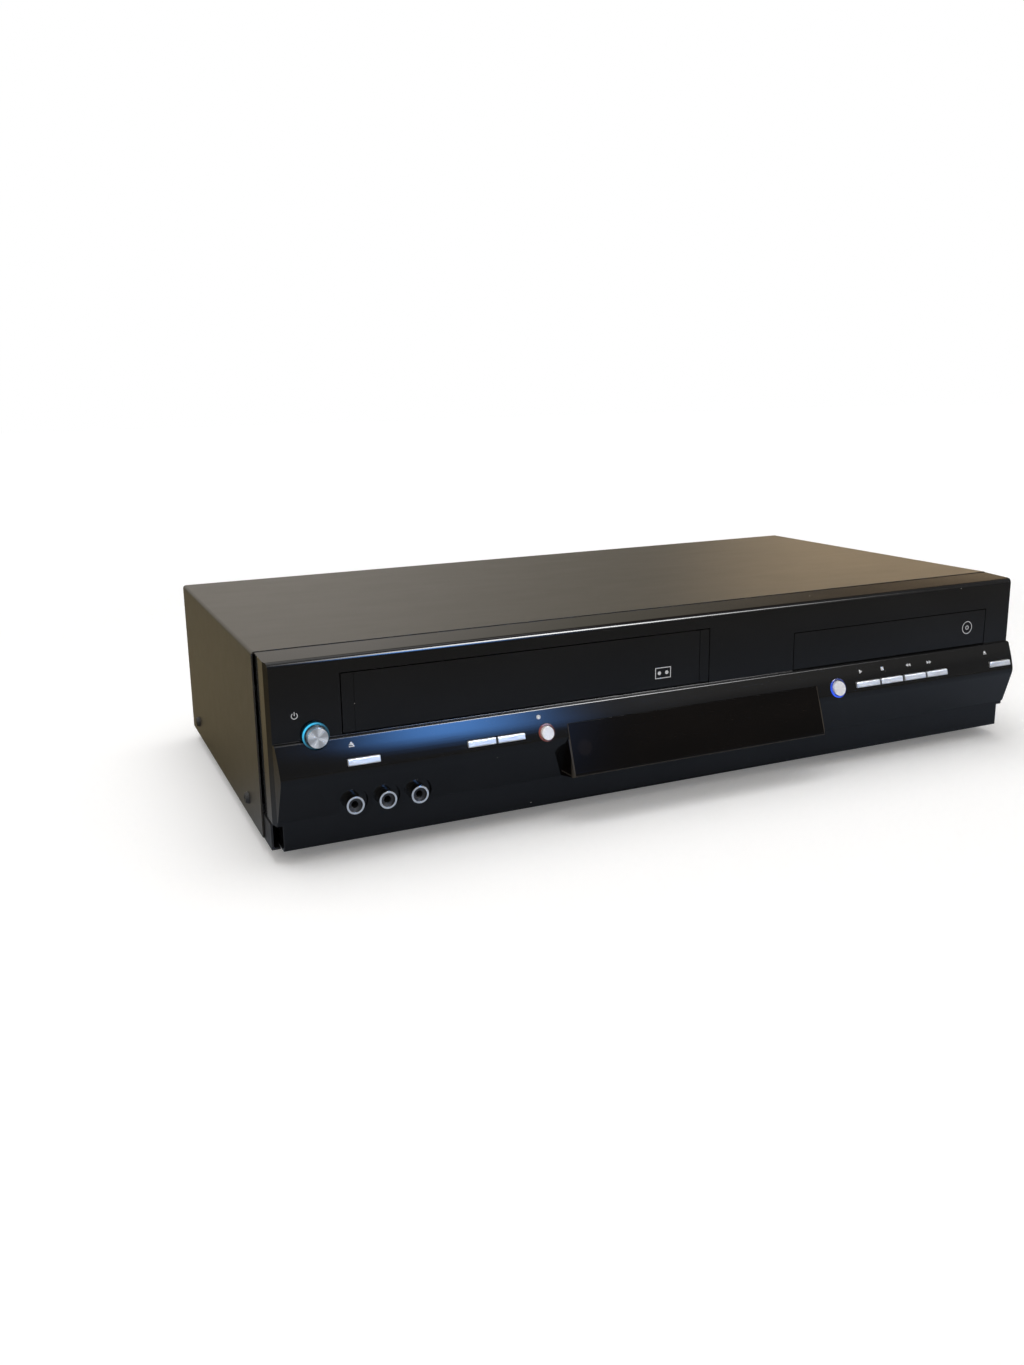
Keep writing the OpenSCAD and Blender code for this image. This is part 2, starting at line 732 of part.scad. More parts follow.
module front_panel() {
    door_x = [deck_x - door_w / 2 - door_gap, deck_x + door_w / 2 + door_gap];
    tray_x = [loader_x - bezel_w / 2 - bezel_gap, loader_x + bezel_w / 2 + bezel_gap];
    face_y = [-face_p - over, -face_p + wall + over];
    lug_top = roof_z(hinge_p) - roof_t / 2;
    color("#0b0b0d") difference() {
        union() {
            difference() {
                fascia_shell();
                block(door_x, face_y, [door_z - door_gap, door_top + door_gap]);
                block(tray_x, face_y, [bezel_z - bezel_gap, bezel_z + bezel_h + bezel_gap]);
            }
            // Shelf that a cassette passes over
            block(door_x, [-face_p + wall - over, -8], [ledge_z - wall, ledge_z + 0.4]);
            // Lugs that the door hangs in
            for (s = [-1, 1]) {
                lug = s > 0 ? [door_arm_x + door_arm_t + slip, door_arm_x + door_arm_t + slip + lug_t]
                    : [-door_arm_x - door_arm_t - slip - lug_t, -door_arm_x - door_arm_t - slip];
                at_deck() rod_x(lug, -hinge_p, hinge_z, lug_r);
                at_deck() block(lug, [-hinge_p - lug_r, -hinge_p + lug_r], [hinge_z, lug_top]);
            }
            // Pad around the jacks
            block(
                [jack_x[0] - pocket_r - 2, jack_x[2] + pocket_r + 2],
                [-pad_p, -chin_p + wall],
                [chin_z, jack_z + pocket_r + 2]
            );
            // Bosses for the front board
            for (b = board_boss) {
                rod_y(b[0], [-bulge_p(max(b[1], chin_z)) + wall / 2, -board_p], b[1], boss_r);
            }
            // Hooks over the chassis' front lip
            hook_y = [-skirt_p + wall - over, chassis_front_y - 0.2];
            for (x = hooks_x) translate([x, 0, 0]) wide(hook_w / 2, hook_y, [2, 6]);
        }
        for (s = [-1, 1]) at_deck() {
            reach = door_arm_x + door_arm_t + lug_t + 2;
            rod_x(s > 0 ? [door_arm_x, reach] : [-reach, -door_arm_x], -hinge_p, hinge_z, hinge_r + fit);
        }
        // Window behind the display
        wide(lens_half - 1.5 + seat, [-nose_p - over, -10], [lens_foot_z + 2.3, lens_top_z + seat]);
        for (b = bars) {
            block(
                [b[0] - button_gap, b[1] + button_gap],
                [-nose_p - over, -chin_p + wall],
                [bar_z - bar_h / 2 - button_gap, bar_z + bar_h / 2 + button_gap]
            );
        }
        ring_pocket(power_x, power_z, power_r, power_ring[1], face_p - 1.2);
        ring_pocket(record_x, bar_z, record_r, record_ring[1], bulge_p(bar_z) - 1.6);
        ring_pocket(selector_x, bar_z, selector_r, selector_ring[1], bulge_p(bar_z) - 1.6);
        for (x = jack_x) {
            rod_y(x, [-nose_p - over, -pad_p], jack_z, pocket_r);
            rod_y(x, [-nose_p - over, -chin_p + wall + over], jack_z, shell_r + seat);
        }
        for (b = board_boss) rod_y(b[0], [-board_p - 6, -board_p + over], b[1], pilot_r);
    }
}

// Stepped hole for a round button: its ring sits in the wider front of the hole
module ring_pocket(x, z, cap_r, ring_r, floor_p) {
    rod_y(x, [-nose_p - over, -floor_p], z, ring_r + seat / 2);
    rod_y(x, [-nose_p - over, -face_p + wall + over], z, cap_r + button_gap);
}

module feet() {
    color("#1b1b1c") for (x = [-1, 1], y = [foot_front_y, cover_d - foot_rear_y]) {
        translate([x * foot_span_x / 2, y, -chassis_t - foot_h]) {
            rotate_extrude() difference() {
                polygon(rounded([[0, 0, 0], [foot_r - 1, 0, 0.8], [foot_r, foot_h, 0.6], [0, foot_h, 0]]));
                translate([0, -over]) square([foot_r / 2, foot_h / 3 + over]);
            }
            translate([0, 0, foot_h / 2]) cylinder(r = foot_r / 3, h = foot_h / 2 + chassis_t);
            translate([0, 0, foot_h + chassis_t]) {
                cylinder(r1 = foot_r / 3 + 0.5, r2 = foot_r / 3 - 0.6, h = 1.6);
            }
        }
    }
}

module cover_screws() {
    color("#19191a") {
        for (s = side_screws) both_sides() {
            translate([cover_w / 2, s[0], s[1]]) rotate([0, 90, 0]) screw(screw_l - 2);
        }
        for (x = rear_screw_x) translate([x, cover_d, rear_screw_z]) rotate([-90, 0, 0]) screw(screw_l - 2);
    }
}

module mechanism_screws() {
    color("#b9bbbe") {
        at_deck() for (p = deck_posts) translate([p[0], p[1], deck_top]) screw(screw_l - 1);
        at_loader() for (p = loader_posts) translate([p[0], p[1], loader_z + floor_t]) screw(screw_l);
        for (p = concat(standoffs, power_standoffs)) translate([p[0], p[1], board_top]) screw(5);
        for (b = board_boss) translate([b[0], -board_p + board_t, b[1]]) rotate([-90, 0, 0]) {
            screw(6, pilot_r - fit, 2.6);
        }
    }
}

// ---- Fascia ----

module display_window() {
    inner_half = lens_half - 1.5;
    draft = 1.3;
    foot_p = bulge_p(lens_foot_z);
    front_lean = (lens_p - bulge_p(lens_top_z)) / (lens_top_z - lens_low_z);
    color("#15110f") difference() {
        union() {
            // Wedge that stands on the bulge
            intersection() {
                pull_x([-lens_half, lens_half]) polygon(rounded([
                    [-nose_p, nose_z, 0], [-lens_p, lens_low_z, 1.4], [-foot_p, lens_foot_z, 0]
                ]));
                pull_z([0, lens_top_z]) polygon(rounded([
                    [-lens_half, -foot_p + over, 0], [lens_half, -foot_p + over, 0],
                    [lens_half - draft, -lens_p, 1.6], [-lens_half + draft, -lens_p, 1.6]
                ]));
            }
            // Frame that sits in the bulge's window
            pull_x([-inner_half, inner_half]) polygon([
                [-bulge_p(lens_top_z), lens_top_z],
                [-bulge_p(lens_top_z) - (lens_top_z - lens_low_z - 2.3) * front_lean, lens_low_z + 2.3],
                [-chin_p + wall, lens_low_z + 2.3], [-chin_p + wall, lens_top_z]
            ]);
        }
        pull_x([-inner_half + lens_t, inner_half - lens_t]) polygon([
            [-bulge_p(lens_top_z) + lens_t + 0.6, lens_top_z - lens_t],
            [-lens_p + lens_t + 2.6, lens_low_z + 4],
            [0, lens_low_z + 4], [0, lens_top_z - lens_t]
        ]);
    }
}

module cassette_door() {
    arm_top = door_top - 1;
    color("#0d0d10") {
        difference() {
            at_deck() wide(door_w / 2, [-face_p, -face_p + door_t], [door_z, door_top]);
            // Fine upright lines near both ends
            for (s = [-1, 1]) at_deck() translate([s * (door_w / 2 - 5.5), -face_p, door_z]) {
                cube([0.5, 0.5, 2 * door_h + over], center = true);
            }
        }
        at_deck() both_sides() {
            pull_x([door_arm_x, door_arm_x + door_arm_t]) polygon([
                [-face_p + door_t - 0.5, door_top - 6], [-face_p + door_t + 0.6, slot_z + tape_h + 0.1],
                [-hinge_p + hinge_r, hinge_z - 3.5], [-hinge_p + hinge_r, hinge_z],
                [-hinge_p - hinge_r, hinge_z], [-hinge_p - hinge_r, door_top],
                [-face_p + door_t - 0.5, arm_top]
            ]);
            rod_x([door_arm_x, door_arm_x + door_arm_t + slip + lug_t], -hinge_p, hinge_z, hinge_r);
        }
        // Seat of the spring on the left arm
        at_deck() rod_x([-door_arm_x - over, -door_arm_x + 4.4], -hinge_p, hinge_z, spring_pin_r);
    }
}

module door_spring() {
    wire = 0.3;
    leg = 0.25;
    coil_r = spring_pin_r + wire + fit;
    turns = 6;
    color("#c9ccd0") at_deck() translate([-door_arm_x + slip + wire, -hinge_p, hinge_z]) {
        rotate([0, 90, 0]) rotate_extrude() {
            for (i = [0 : turns - 1]) translate([coil_r, i * wire * 1.8]) circle(r = wire);
        }
        rod_y(0, [0, 7], coil_r, leg);
        rod_z((turns - 1) * wire * 1.8, coil_r, [-3, 0], leg);
    }
}

// A bar button: its face follows the bulge, and a stop behind the fascia holds it in
module bar_button(bar) {
    low = bar_z - bar_h / 2;
    high = bar_z + bar_h / 2;
    stop_p = bulge_p(high + 1.4) - wall - 0.1;
    middle = (bar[0] + bar[1]) / 2;
    color("#c4c6c9") {
        pull_x(bar) polygon(rounded([
            [-bulge_p(high) - bar_proud, high, 0.5], [-bulge_p(low) - bar_proud, low, 0.5],
            [-stop_p + 0.5, low, 0], [-stop_p + 0.5, high, 0]
        ]));
        block(bar, [-stop_p, -stop_p + 1], [low - 1.4, high + 1.4]);
        rod_y(middle, [-stop_p, -switch_p - press - 0.1], bar_z, stem_r);
    }
}

// A round button along Y with a stop behind the fascia
module round_button(x, z, r, tip, stop_p, end_p) {
    rod_y(x, [-tip, -stop_p + 0.5], z, r);
    rod_y(x, [-stop_p, -stop_p + 1], z, r + 1.1);
    rod_y(x, [-stop_p, -end_p], z, stem_r);
}

module power_button() {
    stop_p = face_p - wall - 0.1;
    color("#a9bcd2") round_button(power_x, power_z, power_r, power_tip, stop_p, low_switch_p + press + 0.1);
}

// A round button on the bulge, its face parallel to the slope
module slope_button(x, r) {
    stop_p = bulge_p(bar_z + r + 1.1) - wall - 0.1;
    intersection() {
        round_button(x, bar_z, r, nose_p + 2, stop_p, switch_p + press + 0.1);
        under_slope(cap_proud);
    }
}

// Everything behind the bulge's upper slope moved forward by proud
module under_slope(proud) {
    pull_x([-fascia_half, fascia_half]) polygon([
        [-ledge_p - proud, ledge_z], [-belly_p - proud, belly_z],
        [-nose_p - proud - 2 * bulge_lean, nose_z - 2],
        [0, nose_z - 2], [0, ledge_z]
    ]);
}

module record_button() {
    color("#d8d4d2") slope_button(record_x, record_r);
}

module selector_button() {
    color("#9fa8d8") slope_button(selector_x, selector_r);
}

module eject_button() {
    bar_button(eject_bar);
}

module input_button() {
    bar_button(input_bar);
}

module speed_button() {
    bar_button(speed_bar);
}

module play_button() {
    bar_button(play_bar);
}

module stop_button() {
    bar_button(stop_bar);
}

module rewind_button() {
    bar_button(rewind_bar);
}

module forward_button() {
    bar_button(forward_bar);
}

module open_close_button() {
    bar_button(open_close_bar);
}

// A ring around a round button, from its pocket's floor to its front
module button_ring(x, z, radii, y) {
    difference() {
        rod_y(x, y, z, radii[1]);
        rod_y(x, [y[0] - over, y[1] + over], z, radii[0]);
    }
}

module light_rings() {
    floor_p = bulge_p(bar_z) - 1.6;
    color("#2f7fd0") button_ring(power_x, power_z, power_ring, [-power_ring_p, -face_p + 1.2]);
    color("#b32018") intersection() {
        button_ring(record_x, bar_z, record_ring, [-nose_p - 2, -floor_p]);
        under_slope(ring_proud);
    }
    color("#2a3fd0") intersection() {
        button_ring(selector_x, bar_z, selector_ring, [-nose_p - 2, -floor_p]);
        under_slope(ring_proud);
    }
}

module display_tube() {
    color("#33403f") {
        wide(tube_w / 2, [-board_p - 5.4, -board_p], [20.5, 37.5]);
        rod_x([tube_w / 2 - over, tube_w / 2 + 4], -board_p - 2.7, 29, 1.4);
    }
}

// ---- Jacks ----

// The shell of one phono jack along Y
module jack_shell(x, y, z) {
    difference() {
        rod_y(x, y, z, shell_r);
        rod_y(x, [y[0] - over, y[1] + over], z, shell_r - shell_t);
    }
}

module jack_shells() {
    color("#d0d2d4") {
        for (x = jack_x) jack_shell(x, [-front_jack_tip, -chin_p + wall], jack_z);
        for (j = rear_jacks) jack_shell(j[0], [rear_y - 1, rear_tip_y], j[1]);
    }
}

module jack_blocks() {
    core_r = shell_r - shell_t - fit;
    row_mid = (rear_jack_z[0] + rear_jack_z[1]) / 2;
    front_side = (jack_pitch - seat) / 2;
    rear_side = (rear_jack_pitch - seat) / 2;
    color("#202022") difference() {
        union() {
            for (x = jack_x) {
                rod_y(x, [core_front_y, -chin_p + wall + 0.1], jack_z, core_r);
                translate([x, 0, 0]) {
                    wide(front_side, [-chin_p + wall, -board_p], [chin_z + 0.3, 28.5]);
                    wide(front_side, [-board_p - 0.1, core_front_y + pin_depth + 2], [11.5, 26]);
                }
            }
            for (j = rear_jacks) {
                block_z = j[1] < row_mid ? [board_top, row_mid - seat] : [row_mid, j[1] + 7];
                rod_y(j[0], [rear_y - 1.2, core_rear_y], j[1], core_r);
                translate([j[0], 0, 0]) wide(rear_side, [rear_y - 13, rear_y - 1], block_z);
            }
        }
        // Holes for the plugs' pins
        for (x = jack_x) rod_y(x, [core_front_y - over, core_front_y + pin_depth], jack_z, pin_hole_r);
        for (j = rear_jacks) rod_y(j[0], [core_rear_y - pin_depth, core_rear_y + over], j[1], pin_hole_r);
    }
}

// ---- Boards ----

module front_board() {
    half = main_x - 1;
    y = [-board_p, -board_p + board_t];
    color("#1f4d2b") difference() {
        union() {
            wide(half, y, [front_lip_h + 0.6, ledge_z - wall - 1.4]);
            block([-half, power_x + 8], y, [40, power_z + 8]);
        }
        block([jack_x[0] - 8 - seat, jack_x[2] + 8 + seat], [-board_p - over, 0], [0, 26 + seat]);
        for (b = board_boss) rod_y(b[0], [-board_p - over, 0], b[1], pilot_r + seat);
    }
}

module main_board() {
    power_room_y = [power_y[0] - board_gap, cover_d];
    color("#205c34") difference() {
        wide(main_x, main_y, [board_z, board_top]);
        block([power_x0 - board_gap, power_x1 + board_gap], power_room_y, [0, board_top + over]);
        at_deck() rods_z(deck_posts, [0, board_top + over], deck_post_r + slip);
        at_loader() rods_z(loader_posts, [0, board_top + over], deck_post_r + slip);
        rods_z(standoffs, [0, board_top + over], screw_r + seat);
    }
}

module power_board() {
    color("#8a6a35") difference() {
        block([power_x0, power_x1], power_y, [board_z, board_top]);
        rods_z(power_standoffs, [0, board_top + over], screw_r + seat);
    }
}

// A tact switch on the front board
module tact_switch(x, z, tip_p) {
    body_p = tip_p - 0.6;
    block([x - switch_w / 2, x + switch_w / 2], [-body_p, -board_p], [z - switch_w / 2, z + switch_w / 2]);
    rod_y(x, [-tip_p, -body_p + 0.3], z, 1.7);
}

// A capacitor standing on a board
module capacitor(x, y, r, h) {
    difference() {
        rod_z(x, y, [board_top, board_top + h], r);
        translate([x, y, board_top + h]) cube([2 * r + over, 0.5, 0.6], center = true);
        translate([x, y, board_top + h]) cube([0.5, 2 * r + over, 0.6], center = true);
    }
}

module board_parts() {
    fins = 7;
    // Place and half width of each chip on the main board
    chips = [
        [deck_x - 64, 60, 14], [deck_x + 26, 40, 10], [deck_x - 64, 100, 9],
        [loader_x - 28, 70, 16], [loader_x + 22, 60, 9], [loader_x - 28, 120, 9]
    ];
    color("#2a2a2c") {
        for (b = bars) tact_switch((b[0] + b[1]) / 2, bar_z, switch_p);
        tact_switch(power_x, power_z, low_switch_p);
        tact_switch(record_x, bar_z, switch_p);
        tact_switch(selector_x, bar_z, switch_p);
        for (c = chips) {
            block([c[0] - c[2], c[0] + c[2]], [c[1] - c[2], c[1] + c[2]], [board_top, board_top + 2.2]);
        }
        // Transformer and its core
        translate([power_x0, 0, board_top]) {
            block([4, 34], [96, 124], [0, 22]);
            block([8, 30], [92, 128], [3, 19]);
            // Heat sink
            block([6, 32], [136, 139], [0, 30]);
            for (i = [0 : fins - 1]) block([6 + i * 4, 7.4 + i * 4], [138, 148], [0, 30]);
        }
    }
    color("#243a66") {
        capacitor(power_x0 + 19.5, 72, 12.5, 30);
        for (i = [0 : 2]) capacitor(power_x0 + 9.5 + i * 10, 156, 4, 14);
        for (i = [0 : 3]) capacitor(deck_x + 46 + i * 12, 70, 3.2, 8);
        for (i = [0 : 3]) capacitor(loader_x - 54 + i * 12, 150, 4, 12);
    }
}

module tuner_module() {
    color("#c3c5c6") difference() {
        union() {
            block(tuner_x, tuner_y, tuner_z);
            for (z = aerials_z) {
                rod_y(aerial_x, [rear_y - over, rear_tip_y - 1], z, aerial_r);
                // Nut
                translate([aerial_x, rear_y + rear_t + 0.1, z]) rotate([-90, 0, 0]) {
                    cylinder(r = 6.4, h = 2, $fn = 6);
                }
            }
        }
        for (z = aerials_z) rod_y(aerial_x, [rear_tip_y - 7, rear_tip_y + over], z, 3.4);
    }
}

module ac_inlet() {
    pin_y = [rear_y - 8, rear_y + rear_t - 0.5];
    color("#19191b") difference() {
        union() {
            pull_y([rear_y - 12, rear_y + rear_t + 1.5]) inlet_outline(0);
            block(
                [inlet_x - 13, inlet_x + 13],
                [rear_y - 13, rear_y - 2],
                [board_top, inlet_z + inlet_r + 2]
            );
        }
        pull_y([rear_y - 9, rear_y + rear_t + 3]) inlet_outline(-1.4);
    }
    color("#c8b27a") for (s = [-1, 1]) {
        rod_y(inlet_x + s * inlet_pitch / 2, [rear_y - 9.5, pin_y[1]], inlet_z, 1.2);
    }
}

// ---- Tape deck ----

module deck_plate() {
    color("#9b9da0") at_deck() difference() {
        union() {
            wide(deck_half, deck_y, [deck_z, deck_top]);
            for (y = [deck_y[0], deck_y[1] - deck_t]) wide(80, [y, y + deck_t], [deck_z - 5, deck_top]);
            both_sides() {
                rod_z(reel_x, reel_y, [deck_z, deck_top + 2.6], 5);
                rod_z(reel_x, reel_y, [deck_z, deck_top + 12], capstan_r);
                rod_z(arm_pivot_x, arm_pivot_y, [deck_z, arm_z + arm_t + 1], post_r);
            }
            rod_z(arm_pivot_x, loading_y, [deck_z, arm_z + arm_t + 1], post_r);
            rod_z(pinch_pivot[0], pinch_pivot[1], [deck_z, pinch_arm_z[0] - slip], post_r + 2);
            rod_z(pinch_pivot[0], pinch_pivot[1], [deck_z, pinch_arm_z[1] + 2], post_r);
        }
        rods_z(deck_posts, [deck_z - over, deck_top + over], screw_r + seat);
        rod_z(capstan_at[0], capstan_at[1], [deck_z - over, deck_top + over], capstan_sleeve_r + seat);
        rod_z(0, drum_y, [deck_z - over, deck_top + over], 12);
        wide(40, [28, 52], [deck_z - over, deck_top + over]);
        for (x = [-62, 40]) block([x, x + 22], [150, 172], [deck_z - over, deck_top + over]);
    }
}

module cassette_housing() {
    reach = guide_pin_r + slip;
    pins_y = [guide_pins_y[0] - reach, guide_pins_y[1] + load_back + reach];
    color("#b4b6b8") at_deck() difference() {
        union() {
            both_sides() {
                block([housing_in, housing_in + housing_t], housing_y, [deck_top, housing_top]);
                block([housing_in - 8, housing_in + housing_t], housing_y, [deck_top, deck_top + housing_t]);
            }
            wide(housing_in + housing_t, [92, 112], [housing_top - housing_t, housing_top]);
            wide(housing_in + housing_t, [24, 34], [housing_top - housing_t, housing_top]);
        }
        for (s = [-1, 1]) {
            x = s > 0 ? [housing_in - over, slider_in] : [-slider_in, -housing_in + over];
            // Window that the holder's pins move in
            block(x, pins_y, [basket_pin_z - load_down - reach, basket_pin_z + reach]);
            // Slot that guides the slider
            block(x, pins_y, [slide_slot_z - guide_pin_r - fit, slide_slot_z + guide_pin_r + fit]);
        }
    }
}

module loading_slider() {
    bar_low = housing_top + 0.6;
    side_x = [slider_in, slider_in + slider_t];
    color("#5b5d61") at_deck() {
        both_sides() difference() {
            union() {
                block(side_x, slider_y, [basket_pin_z - load_down - 4, bar_low + 1]);
                for (y = guide_pins_y) rod_x([housing_in + 0.1, side_x[1]], y, slide_slot_z, guide_pin_r);
            }
            // Upright slots that the holder rides down in
            for (y = guide_pins_y) block(
                [side_x[0] - over, side_x[1] + over],
                [y - guide_pin_r - fit, y + guide_pin_r + fit],
                [basket_pin_z - load_down - guide_pin_r - slip, basket_pin_z + guide_pin_r + slip]
            );
        }
        wide(slider_in + slider_t, [42, 50], [bar_low, bar_low + 1]);
    }
}

module cassette_holder() {
    y = [basket_y, basket_y + basket_d];
    floor_z = slot_z - 0.2;
    top_z = slot_z + tape_h + basket_gap;
    color("#c7c9cb") at_deck() {
        both_sides() {
            block([basket_in, basket_in + basket_t], y, [floor_z - basket_t, top_z + 0.8]);
            block([basket_in - basket_ledge, basket_in + basket_t], y, [floor_z - basket_t, floor_z]);
            for (p = guide_pins_y) rod_x([basket_in, slider_in + slider_t], p, basket_pin_z, guide_pin_r);
        }
        difference() {
            wide(basket_in + basket_t, y, [top_z, top_z + 0.8]);
            wide(50, [y[0] + 14, y[1] - 14], [top_z - over, top_z + 2]);
        }
    }
}

// The drum leans to one side about its own base
module at_drum() {
    at_deck() translate([0, drum_y, drum_z]) rotate([0, drum_lean, 0]) children();
}

module lower_drum() {
    color("#b8babd") {
        at_deck() rod_z(0, drum_y, [deck_top, drum_z + 1], 18);
        at_drum() difference() {
            cylinder(r = drum_r, h = lower_drum_h);
            translate([0, 0, lower_drum_h - 3]) cylinder(r = drum_r - 4, h = 3 + over);
        }
        at_drum() cylinder(r = drum_shaft_r, h = lower_drum_h + upper_drum_h + 2);
    }
}

module upper_drum() {
    base = lower_drum_h + 0.4;
    color("#d6d8da") at_drum() difference() {
        union() {
            translate([0, 0, base]) cylinder(r = drum_r, h = upper_drum_h - 4);
            translate([0, 0, base + upper_drum_h - 5]) cylinder(r = drum_r - 6, h = 3);
        }
        translate([0, 0, base - over]) cylinder(r = drum_shaft_r + fit, h = upper_drum_h + 2);
        // Gaps of the two video heads
        for (a = [0, 180]) rotate([0, 0, a]) translate([drum_r, 0, base]) cube([2.4, 3, 3], center = true);
    }
}

module capstan() {
    color("#aaadb0") at_deck() translate([capstan_at[0], capstan_at[1], 0]) {
        translate([0, 0, flywheel_z[0]]) cylinder(r = flywheel_r, h = flywheel_z[1] - flywheel_z[0]);
        translate([0, 0, flywheel_z[0]]) cylinder(r = capstan_r, h = pinch_z[1] + 3 - flywheel_z[0]);
    }
}

module capstan_motor() {
    base_z = [flywheel_z[0] - 2.4, flywheel_z[0] - 1];
    leg_r = flywheel_r + 3;
    color("#7d8084") at_deck() translate([capstan_at[0], capstan_at[1], 0]) {
        difference() {
            union() {
                rod_z(0, 0, [flywheel_z[1] + 0.4, deck_top + 1.2], capstan_sleeve_r);
                rod_z(0, 0, [deck_top, deck_top + 1.2], capstan_sleeve_r + 0.8);
                rod_z(0, 0, [deck_top, deck_top + 7], capstan_sleeve_r - 2.6);
            }
            rod_z(0, 0, [flywheel_z[1], deck_top + 8], capstan_r + fit);
        }
        translate([0, 0, base_z[0]]) cylinder(r = leg_r + 3, h = base_z[1] - base_z[0]);
        for (a = [60, 180, 300]) rotate([0, 0, a]) translate([leg_r, 0, base_z[0]]) {
            cylinder(r = 2.2, h = deck_z - base_z[0]);
        }
    }
}

module pinch_arm() {
    reach = pinch_at - pinch_pivot;
    arm_l = norm(reach);
    z = pinch_arm_z;
    color("#8b8e92") at_deck() translate(pinch_pivot) rotate([0, 0, atan2(reach[1], reach[0])]) {
        difference() {
            union() {
                rod_z(0, 0, z, 5);
                block([0, arm_l], [-3.5, 3.5], z);
                rod_z(arm_l, 0, z, 3.5);
                rod_z(arm_l, 0, [z[0], pinch_z[1] + 1.5], capstan_r);
            }
            rod_z(0, 0, [z[0] - over, z[1] + over], post_r + fit);
        }
    }
}

module pinch_roller() {
    color("#1a1a1a") at_deck() translate([pinch_at[0], pinch_at[1], pinch_z[0]]) difference() {
        cylinder(r = pinch_r, h = pinch_z[1] - pinch_z[0]);
        translate([0, 0, -over]) cylinder(r = capstan_r + fit, h = pinch_z[1] - pinch_z[0] + 2 * over);
    }
}

// A reel table with its three-finned spindle
module reel(side) {
    low = deck_top + 2.9;
    at_deck() translate([side * reel_x, reel_y, low]) difference() {
        union() {
            cylinder(r = reel_r, h = 3);
            cylinder(r = 12, h = 6);
            cylinder(r = 5, h = 16);
            for (a = [0, 120, 240]) rotate([0, 0, a]) translate([0, -1, 0]) cube([9, 2, 14]);
        }
        translate([0, 0, -over]) cylinder(r = capstan_r + fit, h = 11);
        for (a = [60, 180, 300]) rotate([0, 0, a]) rod_z(reel_r - 7.8, 0, [-over, 5], 3.4);
    }
}

module supply_reel() {
    color("#e4e2da") reel(-1);
}

module takeup_reel() {
    color("#e4e2da") reel(1);
}

// A tape loading arm: its gear, its lever and the guide post at its end
module loading_arm(phase) {
    difference() {
        union() {
            pull_z([arm_z, arm_z + arm_t]) polygon(gear_outline(arm_teeth, phase));
            rotate([0, 0, arm_rest]) {
                translate([0, -4, arm_z]) cube([arm_reach, 8, arm_t]);
                rod_z(arm_reach, 0, [arm_z, arm_z + arm_t], 5);
                rod_z(arm_reach, 0, [arm_z, 52], tape_post_r - 1);
                rod_z(arm_reach, 0, [28, 50], tape_post_r);
            }
        }
        rod_z(0, 0, [arm_z - over, arm_z + arm_t + over], post_r + fit);
    }
}

module takeup_arm() {
    color("#d9cfa0") at_deck() translate([arm_pivot_x, arm_pivot_y, 0]) loading_arm(180 / arm_teeth);
}

module supply_arm() {
    color("#d9cfa0") at_deck() translate([-arm_pivot_x, arm_pivot_y, 0]) mirror([1, 0, 0]) loading_arm(0);
}

module loading_gear() {
    color("#ede9dc") at_deck() translate([arm_pivot_x, loading_y, 0]) difference() {
        pull_z([arm_z, arm_z + arm_t]) polygon(gear_outline(loading_teeth, 90));
        rod_z(0, 0, [arm_z - over, arm_z + arm_t + over], post_r + fit);
    }
}

// A tape head on its stand
module tape_head(at, turn) {
    translate([at[0], at[1], 0]) rotate([0, 0, turn]) {
        wide(7, [-4, 4], [deck_top, deck_top + 2]);
        rod_z(0, 0, [deck_top, 32], 2.5);
        wide(5.5, [-3.5, 3.5], [30, 48]);
    }
}

module tape_heads() {
    color("#8d9094") at_deck() {
        tape_head(head_at, -45);
        tape_head(erase_at, 30);
    }
}

// ---- Disc loader ----

module loader_frame() {
    outer = rail_in + rail_t;
    floor_cut = [loader_z - over, loader_z + floor_t + over];
    color("#26272a") at_loader() difference() {
        union() {
            wide(outer, loader_y, [loader_z, loader_z + floor_t]);
            both_sides() {
                block([rail_in, outer], loader_y, [loader_z, rail_top]);
                block([rail_in - 2.6, outer], loader_y, [tray_z - 2.4, tray_z - 0.2]);
                for (y = guides_y) {
                    block([rail_in - 2.6, outer], [y, y + 12], [tray_z + tray_t + 0.4, rail_top]);
                }
            }
            for (p = loader_posts) block(
                [p[0] > 0 ? outer - over : p[0] - 4.5, p[0] > 0 ? p[0] + 4.5 : -outer + over],
                [p[1] - 5, p[1] + 5],
                [loader_z, loader_z + floor_t]
            );
            rod_z(tray_gear_x, gear_y, [loader_z, gear_z[0] - 0.2], 4);
            rod_z(tray_gear_x, gear_y, [loader_z, gear_z[1]], post_r);
            rod_z(pinion_x, gear_y, [loader_z, belt_z - 1.7], 4);
            rod_z(pinion_x, gear_y, [loader_z, pinion_z[1] + 0.4], post_r);
        }
        // Opening that the traverse swings in
        wide(traverse_half + 4, [traverse_y[0] - 3, traverse_y[1] + 3], floor_cut);
        rod_x([-outer - over, outer + over], swing_y, swing_z, guide_r + fit);
        rods_z(loader_posts, floor_cut, screw_r + seat);
        rod_z(motor_x, gear_y, floor_cut, 4 + seat);
    }
}

